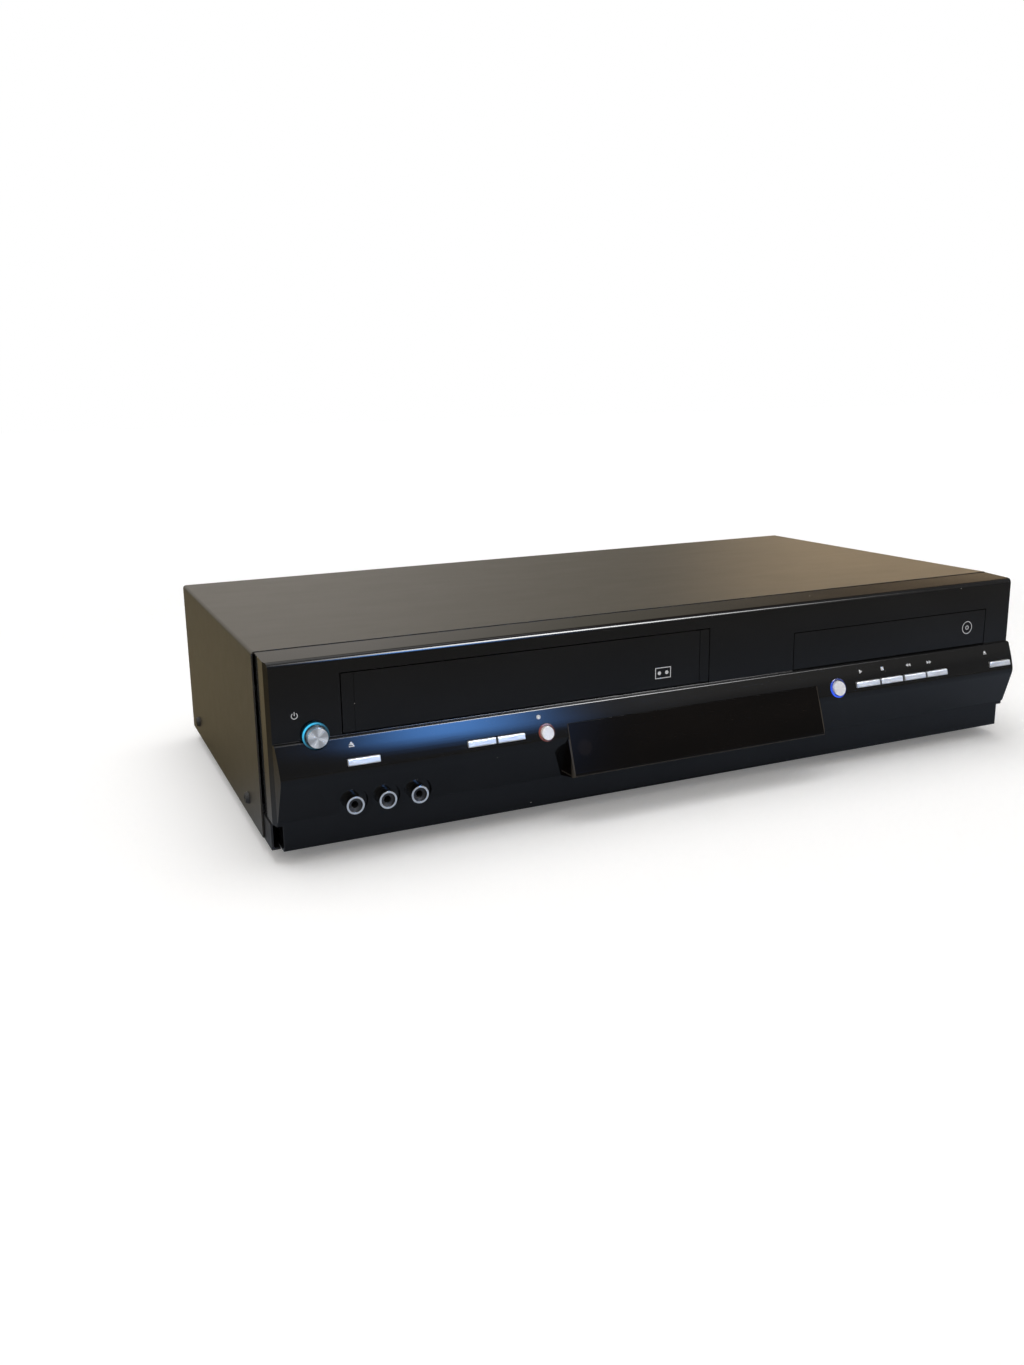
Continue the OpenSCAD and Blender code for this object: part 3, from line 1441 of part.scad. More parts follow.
module disc_tray() {
    half = tray_w / 2;
    low = tray_z + 2;
    rack_x = tray_gear_x - tray_teeth * gear_m / 2;
    rear = tray_front + tray_d;
    color("#1d1e20") at_loader() {
        difference() {
            union() {
                wide(half, [tray_front, rear], [tray_z, tray_z + tray_t]);
                wide(half - 6, [tray_front, tray_front + 2], [tray_z, tray_z + 12]);
            }
            // Place of a full-size disc, and of a small one below it
            rod_z(0, disc_y, [tray_z + tray_t - 2.4, tray_z + tray_t + over], disc_r + 1);
            rod_z(0, disc_y, [low, tray_z + tray_t + over], 41);
            // Slot that the turntable and the lens reach through
            rod_z(0, disc_y, [tray_z - over, tray_z + tray_t + over], tray_slot);
            wide(tray_slot, [disc_y, rear + over], [tray_z - over, tray_z + tray_t + over]);
            // Finger notches
            for (s = [-1, 1]) rod_z(s * half, disc_y, [low, tray_z + tray_t + over], 10);
        }
        translate([rack_x, 0, 0]) pull_z([tray_z - rack_h, tray_z + 0.5]) {
            polygon(rack_outline(-4, rear - 2, gear_y));
        }
    }
}

module tray_bezel() {
    color("#0d0d10") at_loader() {
        wide(bezel_w / 2, [-face_p, tray_front], [bezel_z, bezel_z + bezel_h]);
    }
}

module clamp_bridge() {
    inner = rail_in + rail_t + 0.1;
    outer = inner + bridge_t;
    y = [disc_y - bridge_half, disc_y + bridge_half];
    color("#9fa1a4") at_loader() difference() {
        union() {
            wide(outer, y, [rail_top, rail_top + bridge_t]);
            both_sides() block([inner, outer], y, [rail_top - 10, rail_top + bridge_t / 2]);
        }
        rod_z(0, disc_y, [rail_top - over, rail_top + 3], clamp_hole);
    }
}

module disc_clamp() {
    low = seat_z + disc_t + 0.2;
    color("#d9dadc") at_loader() translate([0, disc_y, 0]) {
        rod_z(0, 0, [low, rail_top + bridge_t + 2], clamp_r);
        rod_z(0, 0, [rail_top + bridge_t + 0.2, rail_top + bridge_t + 2], clamp_hole + 3);
        rod_z(0, 0, [low, rail_top + bridge_t + 4], 6);
    }
}

module traverse_base() {
    z = traverse_z;
    color("#6d7074") at_loader() difference() {
        union() {
            wide(traverse_half, traverse_y, z);
            for (x = [-rod_x, rod_x], y = rod_y) block([x - 4, x + 4], [y - 2, y + 2], [z[0], rod_z + 3]);
            both_sides() {
                block([traverse_half - 8, traverse_half], [swing_y - 4, traverse_y[1]], [z[0], swing_z + 3]);
                rod_x([traverse_half - over, rail_in + rail_t], swing_y, swing_z, guide_r);
            }
            // Spindle motor under the turntable
            rod_z(0, disc_y, [z[0] - 5, z[1]], 14);
            rod_z(0, disc_y, [z[0], z[1] + 4], 5);
        }
        wide(18, [disc_y + 15, traverse_y[1] - 12], [z[0] - over, z[1] + over]);
        for (x = [-rod_x, rod_x]) rod_y(x, [rod_y[0] - 1, rod_y[1] + 1], rod_z, guide_r + fit);
        rod_z(0, disc_y, [z[0], z[1] + 6], guide_r + fit);
    }
}

module guide_rods() {
    color("#d4d6d8") at_loader() for (x = [-rod_x, rod_x]) {
        rod_y(x, [rod_y[0] - 0.8, rod_y[1] + 0.8], rod_z, guide_r);
    }
}

module turntable() {
    color("#2b2c2f") at_loader() translate([0, disc_y, 0]) difference() {
        union() {
            rod_z(0, 0, [seat_z - 6.5, seat_z], 14);
            translate([0, 0, seat_z - 0.1]) cylinder(r1 = 7.4, r2 = 6.4, h = 1.2);
        }
        rod_z(0, 0, [seat_z - 7, seat_z - 6], 9);
    }
    color("#cfd1d3") at_loader() rod_z(0, disc_y, [traverse_z[0] + 0.5, seat_z - 5], guide_r);
}

module pickup() {
    body_y = [pickup_y + pickup_d[0], pickup_y + pickup_d[1]];
    color("#33363b") at_loader() difference() {
        union() {
            wide(rod_x + 5, body_y, [rod_z - 3, rod_z + 3]);
            wide(15, body_y, [traverse_z[0] + 1, tray_z - 1]);
        }
        for (x = [-rod_x, rod_x]) rod_y(x, [body_y[0] - over, body_y[1] + over], rod_z, guide_r + fit);
    }
    color("#9db4d8") at_loader() rod_z(0, pickup_y, [tray_z - 2, seat_z - 1.6], 3.8);
}

module tray_gear() {
    color("#ede9dc") at_loader() translate([tray_gear_x, gear_y, 0]) difference() {
        pull_z(gear_z) polygon(gear_outline(tray_teeth, 0));
        rod_z(0, 0, [gear_z[0] - over, gear_z[1] + over], post_r + fit);
    }
}

module drive_pulley() {
    color("#e0ddd2") at_loader() translate([pinion_x, gear_y, 0]) difference() {
        union() {
            pull_z([belt_z, pinion_z[1]]) polygon(gear_outline(pinion_teeth, 180 / pinion_teeth));
            rod_z(0, 0, [belt_z - 1.5, belt_z + 1.5], pulley_r - pulley_groove);
            rod_z(0, 0, [belt_z - 1.5, belt_z - 0.8], pulley_r + 1);
            rod_z(0, 0, [belt_z + 0.8, belt_z + 1.5], pulley_r + 1);
        }
        rod_z(0, 0, [belt_z - 3, pinion_z[1] + over], post_r + fit);
    }
}

module drive_belt() {
    z = [belt_z - belt_t / 2, belt_z + belt_t / 2];
    color("#161616") at_loader() translate([0, gear_y, 0]) pull_z(z) difference() {
        polygon(belt_outline(pinion_x, pulley_r - pulley_groove, motor_x, motor_pulley_r - 1, fit + belt_t));
        polygon(belt_outline(pinion_x, pulley_r - pulley_groove, motor_x, motor_pulley_r - 1, fit));
    }
}

module loader_motor() {
    color("#b9bbbe") at_loader() translate([motor_x, gear_y, 0]) {
        rod_z(0, 0, [loader_z - 17, loader_z], 12);
        rod_z(0, 0, [loader_z - over, loader_z + 1], 4);
        rod_z(0, 0, [loader_z - over, belt_z + 2], 1);
        rod_z(0, 0, [belt_z - 1.5, belt_z - 0.8], motor_pulley_r + 1);
        rod_z(0, 0, [belt_z - 1.5, belt_z + 1.5], motor_pulley_r - 1);
        rod_z(0, 0, [belt_z + 0.8, belt_z + 1.5], motor_pulley_r + 1);
    }
}

placed() top_cover();
placed() bottom_chassis();
placed() rear_panel();
placed() front_panel();
placed() feet();
placed() cover_screws();
placed() mechanism_screws();
placed() display_window();
placed() cassette_door();
placed() door_spring();
placed() power_button();
placed() eject_button();
placed() input_button();
placed() speed_button();
placed() record_button();
placed() selector_button();
placed() play_button();
placed() stop_button();
placed() rewind_button();
placed() forward_button();
placed() open_close_button();
placed() light_rings();
placed() display_tube();
placed() jack_shells();
placed() jack_blocks();
placed() front_board();
placed() main_board();
placed() power_board();
placed() board_parts();
placed() tuner_module();
placed() ac_inlet();
placed() deck_plate();
placed() cassette_housing();
placed() loading_slider();
placed() cassette_holder();
placed() lower_drum();
placed() upper_drum();
placed() capstan();
placed() capstan_motor();
placed() pinch_arm();
placed() pinch_roller();
placed() supply_reel();
placed() takeup_reel();
placed() supply_arm();
placed() takeup_arm();
placed() loading_gear();
placed() tape_heads();
placed() loader_frame();
placed() disc_tray();
placed() tray_bezel();
placed() clamp_bridge();
placed() disc_clamp();
placed() traverse_base();
placed() guide_rods();
placed() turntable();
placed() pickup();
placed() tray_gear();
placed() drive_pulley();
placed() drive_belt();
placed() loader_motor();
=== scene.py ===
import json
import logging
import math
from dataclasses import dataclass, field
from enum import Enum
from typing import Dict, List, Optional, Sequence, Tuple, Union

import bpy
from bpy.types import ColorRamp, Material, NodeSocket, Object, World
from mathutils import Matrix, Vector

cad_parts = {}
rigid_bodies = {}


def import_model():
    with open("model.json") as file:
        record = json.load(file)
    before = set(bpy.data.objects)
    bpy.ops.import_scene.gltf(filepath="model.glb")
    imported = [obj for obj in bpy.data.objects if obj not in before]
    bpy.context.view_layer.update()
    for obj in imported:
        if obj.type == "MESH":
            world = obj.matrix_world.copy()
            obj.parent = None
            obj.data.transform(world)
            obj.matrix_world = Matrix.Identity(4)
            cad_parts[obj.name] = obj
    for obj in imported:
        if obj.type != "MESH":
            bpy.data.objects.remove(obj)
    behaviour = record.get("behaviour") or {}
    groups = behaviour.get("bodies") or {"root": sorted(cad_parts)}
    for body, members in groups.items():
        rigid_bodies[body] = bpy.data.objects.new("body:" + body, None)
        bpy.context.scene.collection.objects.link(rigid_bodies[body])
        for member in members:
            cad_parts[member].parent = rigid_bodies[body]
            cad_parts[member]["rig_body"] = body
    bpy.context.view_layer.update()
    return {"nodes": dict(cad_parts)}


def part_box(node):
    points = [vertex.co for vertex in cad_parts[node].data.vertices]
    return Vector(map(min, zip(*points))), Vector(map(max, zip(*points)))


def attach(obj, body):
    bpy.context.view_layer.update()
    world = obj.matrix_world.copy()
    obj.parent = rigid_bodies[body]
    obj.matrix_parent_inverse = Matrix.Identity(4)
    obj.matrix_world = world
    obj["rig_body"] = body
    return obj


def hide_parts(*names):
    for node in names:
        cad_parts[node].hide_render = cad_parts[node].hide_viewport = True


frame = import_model()

LOG = logging.getLogger("player")
MM = 0.001
Colour = Tuple[float, float, float, float]
Point = Tuple[float, float, float]
Stops = Tuple[Tuple[float, Point], ...]


def paint(*screen: float) -> Colour:
    """Turns a screen's red, green and blue, from 0 to 255, into a linear colour."""
    shares = (level / 255 for level in screen)
    return (*(s / 12.92 if s <= 0.04045 else ((s + 0.055) / 1.055) ** 2.4 for s in shares), 1.0)


def scaled(colour: Colour, share: float) -> Colour:
    """Gives the same colour at another brightness."""
    return (*(level * share for level in colour[:3]), 1.0)


def grey(level: float) -> Colour:
    """Gives a grey in linear light."""
    return (level, level, level, 1.0)


def place(x: float, p: float, z: float) -> Vector:
    """Gives a point that is x right of the middle, p in front of the cover and z over its floor, in mm."""
    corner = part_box("top_cover")[0]
    return Vector((x * MM, corner.y - p * MM, corner.z + z * MM))


class Axis(Enum):
    """The axis of a turned piece, by its place in a point."""

    Y = 1
    Z = 2


# ---- Shader expressions ----

Level = Union[float, "Signal"]


class Signal:
    """One value in a shader that Python's operators can be used on."""

    def __init__(self, graph: "Graph", socket: NodeSocket) -> None:
        """Keeps the graph and the output socket."""
        self.graph = graph
        self.socket = socket

    def __add__(self, other: Level) -> "Signal":
        """Adds."""
        return self.graph.maths("ADD", self, other)

    def __radd__(self, other: Level) -> "Signal":
        """Adds, from the right."""
        return self.graph.maths("ADD", other, self)

    def __sub__(self, other: Level) -> "Signal":
        """Subtracts."""
        return self.graph.maths("SUBTRACT", self, other)

    def __rsub__(self, other: Level) -> "Signal":
        """Subtracts from a number."""
        return self.graph.maths("SUBTRACT", other, self)

    def __mul__(self, other: Level) -> "Signal":
        """Multiplies."""
        return self.graph.maths("MULTIPLY", self, other)

    def __rmul__(self, other: Level) -> "Signal":
        """Multiplies, from the right."""
        return self.graph.maths("MULTIPLY", other, self)

    def __pow__(self, other: Level) -> "Signal":
        """Raises to a power."""
        return self.graph.maths("POWER", self, other)

    def __rpow__(self, other: Level) -> "Signal":
        """Raises a number to this power."""
        return self.graph.maths("POWER", other, self)

    def __abs__(self) -> "Signal":
        """Drops the sign."""
        return self.graph.maths("ABSOLUTE", self)

    def rise(self, low: float, high: float) -> "Signal":
        """Goes smoothly from 0 at low to 1 at high.

        Args:
            low: Where it starts.
            high: Where it ends, which may be below low.

        Returns:
            The value from 0 to 1.
        """
        if low > high:
            return 1 - self.rise(high, low)
        return self.graph.node(
            "ShaderNodeMapRange",
            {"interpolation_type": "SMOOTHSTEP"},
            {"Value": self, "From Min": low, "From Max": high},
        )

    def parts(self) -> Tuple["Signal", "Signal", "Signal"]:
        """Splits a vector into its three values."""
        split = self.graph.node("ShaderNodeSeparateXYZ", {}, {0: self}).socket.node
        return tuple(Signal(self.graph, socket) for socket in split.outputs)


class Graph:
    """The nodes of one material or of the world."""

    def __init__(self, owner: Union[Material, World], shader: str = "Principled BSDF") -> None:
        """Opens the nodes of a material or a world.

        Args:
            owner: The material or the world.
            shader: The name of its main shader.
        """
        owner.use_nodes = True
        self.tree = owner.node_tree
        self.shader = self.tree.nodes[shader]

    def node(self, kind: str, settings: Optional[Dict[str, object]] = None,
             sockets: Optional[Dict[Union[str, int], object]] = None,
             out: Union[str, int] = 0) -> Signal:
        """Adds one node.

        Args:
            kind: The node's type.
            settings: Its options, and a ramp's stops as "stops".
            sockets: Values or signals for its inputs.
            out: The output to give back.

        Returns:
            That output.
        """
        made = self.tree.nodes.new(kind)
        for key, value in (settings or {}).items():
            if key == "stops":
                self._set_stops(made.color_ramp, value)
            else:
                setattr(made, key, value)
        for key, value in (sockets or {}).items():
            self.feed(made.inputs[key], value)
        return Signal(self, made.outputs[out])

    @staticmethod
    def _set_stops(ramp: ColorRamp, stops: Stops) -> None:
        """Sets the stops of a colour ramp.

        Args:
            ramp: The ramp.
            stops: Place and colour of each stop, in order.
        """
        while len(ramp.elements) < len(stops):
            ramp.elements.new(1.0)
        for element, (at, colour) in zip(ramp.elements, stops):
            element.position = at
            element.color = (*colour, 1)

    def feed(self, socket: NodeSocket, value: object) -> None:
        """Links a signal to a socket, or sets its value.

        Args:
            socket: The input socket.
            value: A signal, or the value itself.
        """
        if isinstance(value, Signal):
            self.tree.links.new(value.socket, socket)
        else:
            socket.default_value = value

    def maths(self, operation: str, first: Level, second: Level = 0.0) -> Signal:
        """Adds one Math node."""
        return self.node("ShaderNodeMath", {"operation": operation}, {0: first, 1: second})

    def wave(self, along: Signal, length: float) -> Signal:
        """Gives a sine wave, whose length is in millimetres."""
        return self.maths("SINE", along * (2 * math.pi / (length * MM)))

    def mix(self, share: Level, first: object, second: object) -> Signal:
        """Mixes two colours or signals. A share of 0 gives the first, and 1 the second."""
        return self.node("ShaderNodeMix", {"data_type": "RGBA"}, {0: share, 6: first, 7: second}, 2)

    def spot(self) -> Signal:
        """Gives the place on the piece, in metres."""
        return self.node("ShaderNodeTexCoord", out="Object")

    def scale_spot(self, size: float, stretch: Point = (1, 1, 1), shift: float = 0.0) -> Signal:
        """Gives the place on the piece in units of a pattern.

        Args:
            size: Size of the pattern in millimetres.
            stretch: How many times longer the pattern is along each axis.
            shift: Moves the pattern, so that two of them differ.

        Returns:
            The scaled place.
        """
        steps = tuple(1 / (size * MM * s) for s in stretch)
        return self.node("ShaderNodeMapping", {}, {
            "Vector": self.spot(), "Scale": steps, "Location": (shift, shift * 1.7, shift * 2.3)})

    def cloud(self, size: float, stretch: Point = (1, 1, 1), detail: float = 2.0,
              shift: float = 0.0) -> Signal:
        """Gives noise around 0.5. Its blots have a size in millimetres and a stretch along each axis."""
        return self.node("ShaderNodeTexNoise", {}, {
            "Vector": self.scale_spot(size, stretch, shift), "Scale": 1.0, "Detail": detail})

    def specks(self, size: float, share: float, shift: float = 0.0) -> Signal:
        """Gives small round dots strewn over a piece.

        Args:
            size: Distance between possible dots in millimetres.
            share: Share of the places that have a dot.
            shift: Moves the pattern.

        Returns:
            1 on a dot and 0 elsewhere.
        """
        cells = self.node("ShaderNodeTexVoronoi", {}, {
            "Vector": self.scale_spot(size, (1, 1, 1), shift), "Scale": 1.0})
        chance, reach, _ = Signal(self, cells.socket.node.outputs["Color"]).parts()
        near = 1 - (cells - reach * 0.03).rise(0.01, 0.04)
        return near * chance.rise(1 - share, 1 - share + 0.01)

    def around(self, middle: Vector, axis: Axis) -> Tuple[Signal, Signal]:
        """Gives the distance and the angle around an axis.

        Args:
            middle: A point on the axis.
            axis: The axis' direction.

        Returns:
            The distance in metres and the angle in radians.
        """
        moved = self.node("ShaderNodeVectorMath", {"operation": "SUBTRACT"}, {0: self.spot(), 1: middle})
        sides = [part for index, part in enumerate(moved.parts()) if index != axis.value]
        angle = self.maths("ARCTAN2", sides[1], sides[0])
        return self.maths("SQRT", sides[0] * sides[0] + sides[1] * sides[1]), angle

    def bump(self, height: Signal, depth: float, strength: float = 1.0) -> None:
        """Raises the surface by a pattern, to a depth in millimetres and at a strength from 0 to 1."""
        self.set("Normal", self.node("ShaderNodeBump", {}, {
            "Height": height, "Distance": depth * MM, "Strength": strength}))

    def set(self, name: str, value: object) -> None:
        """Sets or links one socket of the main shader."""
        self.feed(self.shader.inputs[name], value)


# ---- Finishes ----

@dataclass(frozen=True)
class Finish:
    """What every finish has. A material is made from it once and shared."""

    name: str
    slot: str
    colour: Colour
    rough: float = 0.5
    specular: float = 0.5

    def material(self) -> Material:
        """Makes the material the first time.

        Returns:
            The material.
        """
        known = bpy.data.materials.get(self.name)
        if known:
            return known
        made = bpy.data.materials.new(self.name)
        graph = Graph(made)
        graph.set("Specular IOR Level", self.specular)
        self.dress(graph)
        return made

    def shaded(self, graph: Graph, share: Signal, dull: float, bright: float = 1.0) -> Signal:
        """Mixes the colour at two brightnesses: dull where the share is 0, and bright where it is 1."""
        return graph.mix(share, scaled(self.colour, dull), scaled(self.colour, bright))

    def dress(self, graph: Graph) -> None:
        """Lays the finish's patterns on the shader."""
        raise NotImplementedError


@dataclass(frozen=True)
class PaintedSteel(Finish):
    """Baked paint on sheet steel: fine grain, faint handling marks, a little dust."""

    grain: float = 0.55
    relief: float = 0.018
    dust: float = 0.1

    def dress(self, graph: Graph) -> None:
        """Lays the grain, the marks and the dust.

        Args:
            graph: The material's nodes.
        """
        blots = graph.cloud(70, detail=3)
        worn = graph.cloud(9, (3, 1, 1), detail=4, shift=4)
        base = self.shaded(graph, blots.rise(0.3, 0.7), 0.93, 1.07)
        dust = graph.specks(4.5, self.dust, 2)
        graph.set("Base Color", graph.mix(dust * 0.4, base, paint(168, 158, 142)))
        graph.set("Roughness", self.rough + (worn - 0.5) * 0.05 + (blots - 0.5) * 0.05)
        graph.bump(graph.cloud(self.grain, detail=2, shift=1), self.relief, 0.35)


@dataclass(frozen=True)
class GlossMoulding(Finish):
    """High-gloss moulded plastic: wiping marks, hair scratches, a few specks of dust."""

    dust: float = 0.05

    def dress(self, graph: Graph) -> None:
        """Lays the wiping marks, the scratches and the dust.

        Args:
            graph: The material's nodes.
        """
        wiped = graph.cloud(26, (2.2, 1, 1), detail=3)
        hairs = graph.cloud(0.35, (70, 1, 1.5), detail=1, shift=3).rise(0.68, 0.78)
        dust = graph.specks(5, self.dust, 5)
        tint = self.shaded(graph, wiped.rise(0.35, 0.7), 0.8, 1.3)
        graph.set("Base Color", graph.mix(dust * 0.8, tint, paint(176, 174, 170)))
        graph.set("Roughness", self.rough + wiped * 0.05 + hairs * 0.08 + dust * 0.3)
        graph.bump(graph.cloud(3.5, detail=1, shift=8), 0.004, 0.35)


@dataclass(frozen=True)
class SmokedWindow(Finish):
    """Smoked glossy acrylic, with a painted highlight along both ends and its foot, and a sensor's pale
    spot.
    """

    sensor: Tuple[float, float] = (-66.0, 29.5)
    end: float = 73.4
    foot: float = 16.9
    edge: Tuple[float, float] = (0.5, 0.25)

    def dress(self, graph: Graph) -> None:
        """Lays the tint, the sensor's spot, the painted edge highlight and the wiping marks.

        Args:
            graph: The material's nodes.
        """
        middle = place(self.sensor[0], 0, self.sensor[1])
        away, _ = graph.around(middle, Axis.Y)
        wiped = graph.cloud(20, (2.5, 1, 1), detail=3, shift=6)
        tint = self.shaded(graph, wiped.rise(0.35, 0.7), 0.75, 1.35)
        glow = away.rise(4.6 * MM, 2.4 * MM) * 0.35
        lint = graph.specks(4, 0.08, 7)
        x, _, z = graph.spot().parts()
        # Painted highlight: a paler band along both ends and the foot stands in for light caught on the
        # edges.
        beside, low = abs(abs(x) - self.end * MM), abs(z - place(0, 0, self.foot).z)
        outer, inner = (reach * MM for reach in self.edge)
        edges = graph.maths("MAXIMUM", beside.rise(outer, inner), low.rise(outer, inner) * 0.4)
        shown = graph.mix(glow, tint, paint(38, 32, 30))
        graph.set("Base Color", graph.mix(lint * 0.5, graph.mix(edges * 0.75, shown, paint(84, 79, 72)),
                                          paint(150, 142, 132)))
        graph.set("Roughness", self.rough + wiped * 0.05 + lint * 0.3)
        graph.bump(graph.cloud(4, detail=1, shift=8), 0.003, 0.3)


@dataclass(frozen=True)
class TurnedMetal(Finish):
    """Metal turned on a lathe: fine rings, and a painted highlight, an X of two rays, in its colour."""

    middle: Point = (0.0, 0.0, 0.0)
    axis: Axis = Axis.Y
    pitch: float = 0.22
    rays: float = 0.5
    metal: float = 1.0
    dark: float = 0.42

    def dress(self, graph: Graph) -> None:
        """Lays the rings and the painted highlight of two rays.

        Args:
            graph: The material's nodes.
        """
        away, angle = graph.around(place(*self.middle), self.axis)
        rings = graph.wave(away, self.pitch) * 0.5 + 0.5
        wear = graph.cloud(2.5, detail=3)
        # Painted highlight: an X of two brighter rays in the colour stands in for the shine of turned
        # metal.
        painted_ray_highlight = abs(graph.maths("COSINE", angle * 2 + 0.9)) ** 3
        bright = painted_ray_highlight * self.rays + rings * 0.16 + wear * 0.2
        graph.set("Base Color", self.shaded(graph, bright.rise(0, 1), self.dark))
        graph.set("Roughness", self.rough + (1 - painted_ray_highlight) * 0.1 + (wear - 0.5) * 0.12)
        graph.set("Metallic", self.metal)
        graph.bump(rings, 0.006, 0.6)


@dataclass(frozen=True)
class BrushedMetal(Finish):
    """Metal with a grain along one axis, the faint stains of handling, and painted shade beside its slits,
    where the gaps between neighbours fall dark.
    """

    along: Point = (40, 1, 1)
    metal: float = 1.0
    grain: float = 0.3
    relief: float = 0.004
    slits: Tuple[float, ...] = ()

    def dress(self, graph: Graph) -> None:
        """Lays the grain, the stains and the painted shade beside the slits between neighbours.

        Args:
            graph: The material's nodes.
        """
        streaks = graph.cloud(self.grain, self.along, detail=3)
        stains = graph.cloud(14, detail=4, shift=3)
        base = self.shaded(graph, streaks.rise(0.25, 0.75), 0.82)
        base = graph.mix(stains.rise(0.5, 0.85) * 0.35, base, scaled(self.colour, 0.62))
        x, _, _ = graph.spot().parts()
        # Painted shade: the colour darkens beside each slit, where the gap between neighbours falls dark.
        for slit in self.slits:
            painted_slit_shade = abs(x - slit * MM).rise(0.85 * MM, 0.6 * MM)
            base = graph.mix(painted_slit_shade * 0.85, base, scaled(self.colour, 0.12))
        graph.set("Base Color", base)
        graph.set("Roughness", self.rough + (streaks - 0.5) * 0.16 + stains.rise(0.5, 0.9) * 0.08)
        graph.set("Metallic", self.metal)
        graph.bump(streaks, self.relief, 0.5)


@dataclass(frozen=True)
class ZincSheet(Finish):
    """Zinc-plated sheet steel: soft patches of crystal over a rolled grain."""

    def dress(self, graph: Graph) -> None:
        """Lays the crystals and the rolled grain.

        Args:
            graph: The material's nodes.
        """
        cells = graph.node("ShaderNodeTexVoronoi", {}, {
            "Vector": graph.scale_spot(5, (1, 1.4, 1)), "Scale": 1.0}, "Color")
        tone, _, _ = cells.parts()
        rolled = graph.cloud(0.5, (1, 30, 1), detail=2)
        dull = graph.cloud(30, detail=4, shift=2)
        mixed = tone * 0.45 + rolled * 0.25 + dull * 0.3
        graph.set("Base Color", self.shaded(graph, mixed.rise(0.2, 0.8), 0.78))
        graph.set("Roughness", self.rough + tone * 0.1 + (dull - 0.5) * 0.15)
        graph.set("Metallic", 1.0)
        graph.bump(rolled * 0.6 + tone * 0.4, 0.004, 0.5)


@dataclass(frozen=True)
class MattMoulding(Finish):
    """Moulded plastic with a spark-eroded grain, slightly polished where it is touched."""

    grain: float = 0.5
    relief: float = 0.012

    def dress(self, graph: Graph) -> None:
        """Lays the grain and the polished patches.

        Args:
            graph: The material's nodes.
        """
        grain = graph.cloud(self.grain, detail=2)
        patches = graph.cloud(16, detail=3, shift=5)
        flecks = graph.specks(3.5, 0.06, 9)
        base = self.shaded(graph, patches.rise(0.3, 0.75), 0.85, 1.12)
        graph.set("Base Color", graph.mix(flecks * 0.2, base, paint(170, 165, 155)))
        graph.set("Roughness", self.rough + (grain - 0.5) * 0.12 - patches.rise(0.5, 0.8) * 0.1)
        graph.bump(grain, self.relief, 0.6)


@dataclass(frozen=True)
class CircuitBoard(Finish):
    """Lacquered circuit board with copper tracks both ways, and tinned holes."""

    track: Colour = (0.1, 0.3, 0.12, 1)

    def dress(self, graph: Graph) -> None:
        """Lays the tracks, the holes and the weave under the lacquer.

        Args:
            graph: The material's nodes.
        """
        across = graph.cloud(1.6, (14, 1, 14), detail=0).rise(0.54, 0.57)
        away = graph.cloud(1.6, (1, 14, 1), detail=0, shift=6).rise(0.56, 0.59)
        copper = graph.maths("MAXIMUM", across, away)
        holes = graph.specks(2.6, 0.5, 3)
        weave = graph.cloud(0.8, (3, 1, 1), detail=1)
        base = self.shaded(graph, weave, 0.85, 1.1)
        graph.set("Base Color", graph.mix(holes, graph.mix(copper, base, self.track), paint(190, 190, 185)))
        graph.set("Roughness", self.rough + (weave - 0.5) * 0.1)
        graph.set("Metallic", holes * 0.9)
        graph.bump(copper + weave * 0.2, 0.03, 0.6)


@dataclass(frozen=True)
class PaintedGlowRing(Finish):
    """Clear coloured plastic whose light is painted: an emission glow along its rim, strongest towards one
    side, with no lamp behind it.

    The painted glow shows from the radius rim outwards, and down to the depth deep, both in millimetres.
    """

    middle: Point = (0.0, 0.0, 0.0)
    heading: float = 2.3
    spread: float = 1.4
    power: float = 1.0
    dim: float = 0.12
    rim: float = 5.2
    deep: float = 0.8

    def dress(self, graph: Graph) -> None:
        """Lays the painted glow along the rim, strongest towards its heading.

        Args:
            graph: The material's nodes.
        """
        middle = place(*self.middle)
        away, angle = graph.around(middle, Axis.Y)
        facing = graph.maths("COSINE", angle - self.heading) * 0.5 + 0.5
        grain = graph.cloud(1.2, detail=2)
        front = graph.spot().parts()[1].rise(middle.y + self.deep * MM, middle.y)
        rim = away.rise(self.rim * MM, (self.rim + 0.3) * MM) * front
        lit = ((facing ** self.spread) * (1 - self.dim) + self.dim) * rim
        # Painted light: the emission glow along the rim, strongest towards its heading.
        glow = graph.mix(lit * (0.85 + grain * 0.3), grey(0), self.colour)
        graph.set("Base Color", self.shaded(graph, grain, 0.05, 0.12))
        graph.set("Emission Color", glow)
        graph.set("Emission Strength", self.power)
        graph.set("Roughness", self.rough + (grain - 0.5) * 0.15)
        graph.bump(grain, 0.01, 0.4)


@dataclass(frozen=True)
class TubeGlass(Finish):
    """Display tube: glass over a dark grid of unlit segments."""

    wire: float = 0.9
    row: float = 5.5
    cell: float = 9.0

    def dress(self, graph: Graph) -> None:
        """Lays the grid and its segments.

        Args:
            graph: The material's nodes.
        """
        x, _, z = graph.spot().parts()
        wires = graph.wave(x, self.wire) * 0.5 + 0.5
        rows = graph.wave(z, self.row).rise(0.2, 0.5)
        cells = rows * graph.wave(x, self.cell).rise(-0.5, -0.2)
        base = graph.mix(cells * 0.5, self.colour, paint(120, 150, 140))
        graph.set("Base Color", graph.mix(wires * 0.3, base, scaled(self.colour, 0.4)))
        graph.set("Roughness", self.rough + wires * 0.05)
        graph.set("Coat Weight", 0.6 + wires * 0.2)
        graph.bump(wires, 0.01, 0.3)


@dataclass(frozen=True)
class PrintedInk(Finish):
    """Pale ink printed on the moulding, slightly broken at its edges."""

    def dress(self, graph: Graph) -> None:
        """Lays the ink's uneven cover.

        Args:
            graph: The material's nodes.
        """
        cover = graph.cloud(0.35, detail=2)
        graph.set("Base Color", self.shaded(graph, cover.rise(0.2, 0.6), 0.7))
        graph.set("Roughness", self.rough + (cover - 0.5) * 0.2)
        graph.bump(cover, 0.004, 0.4)


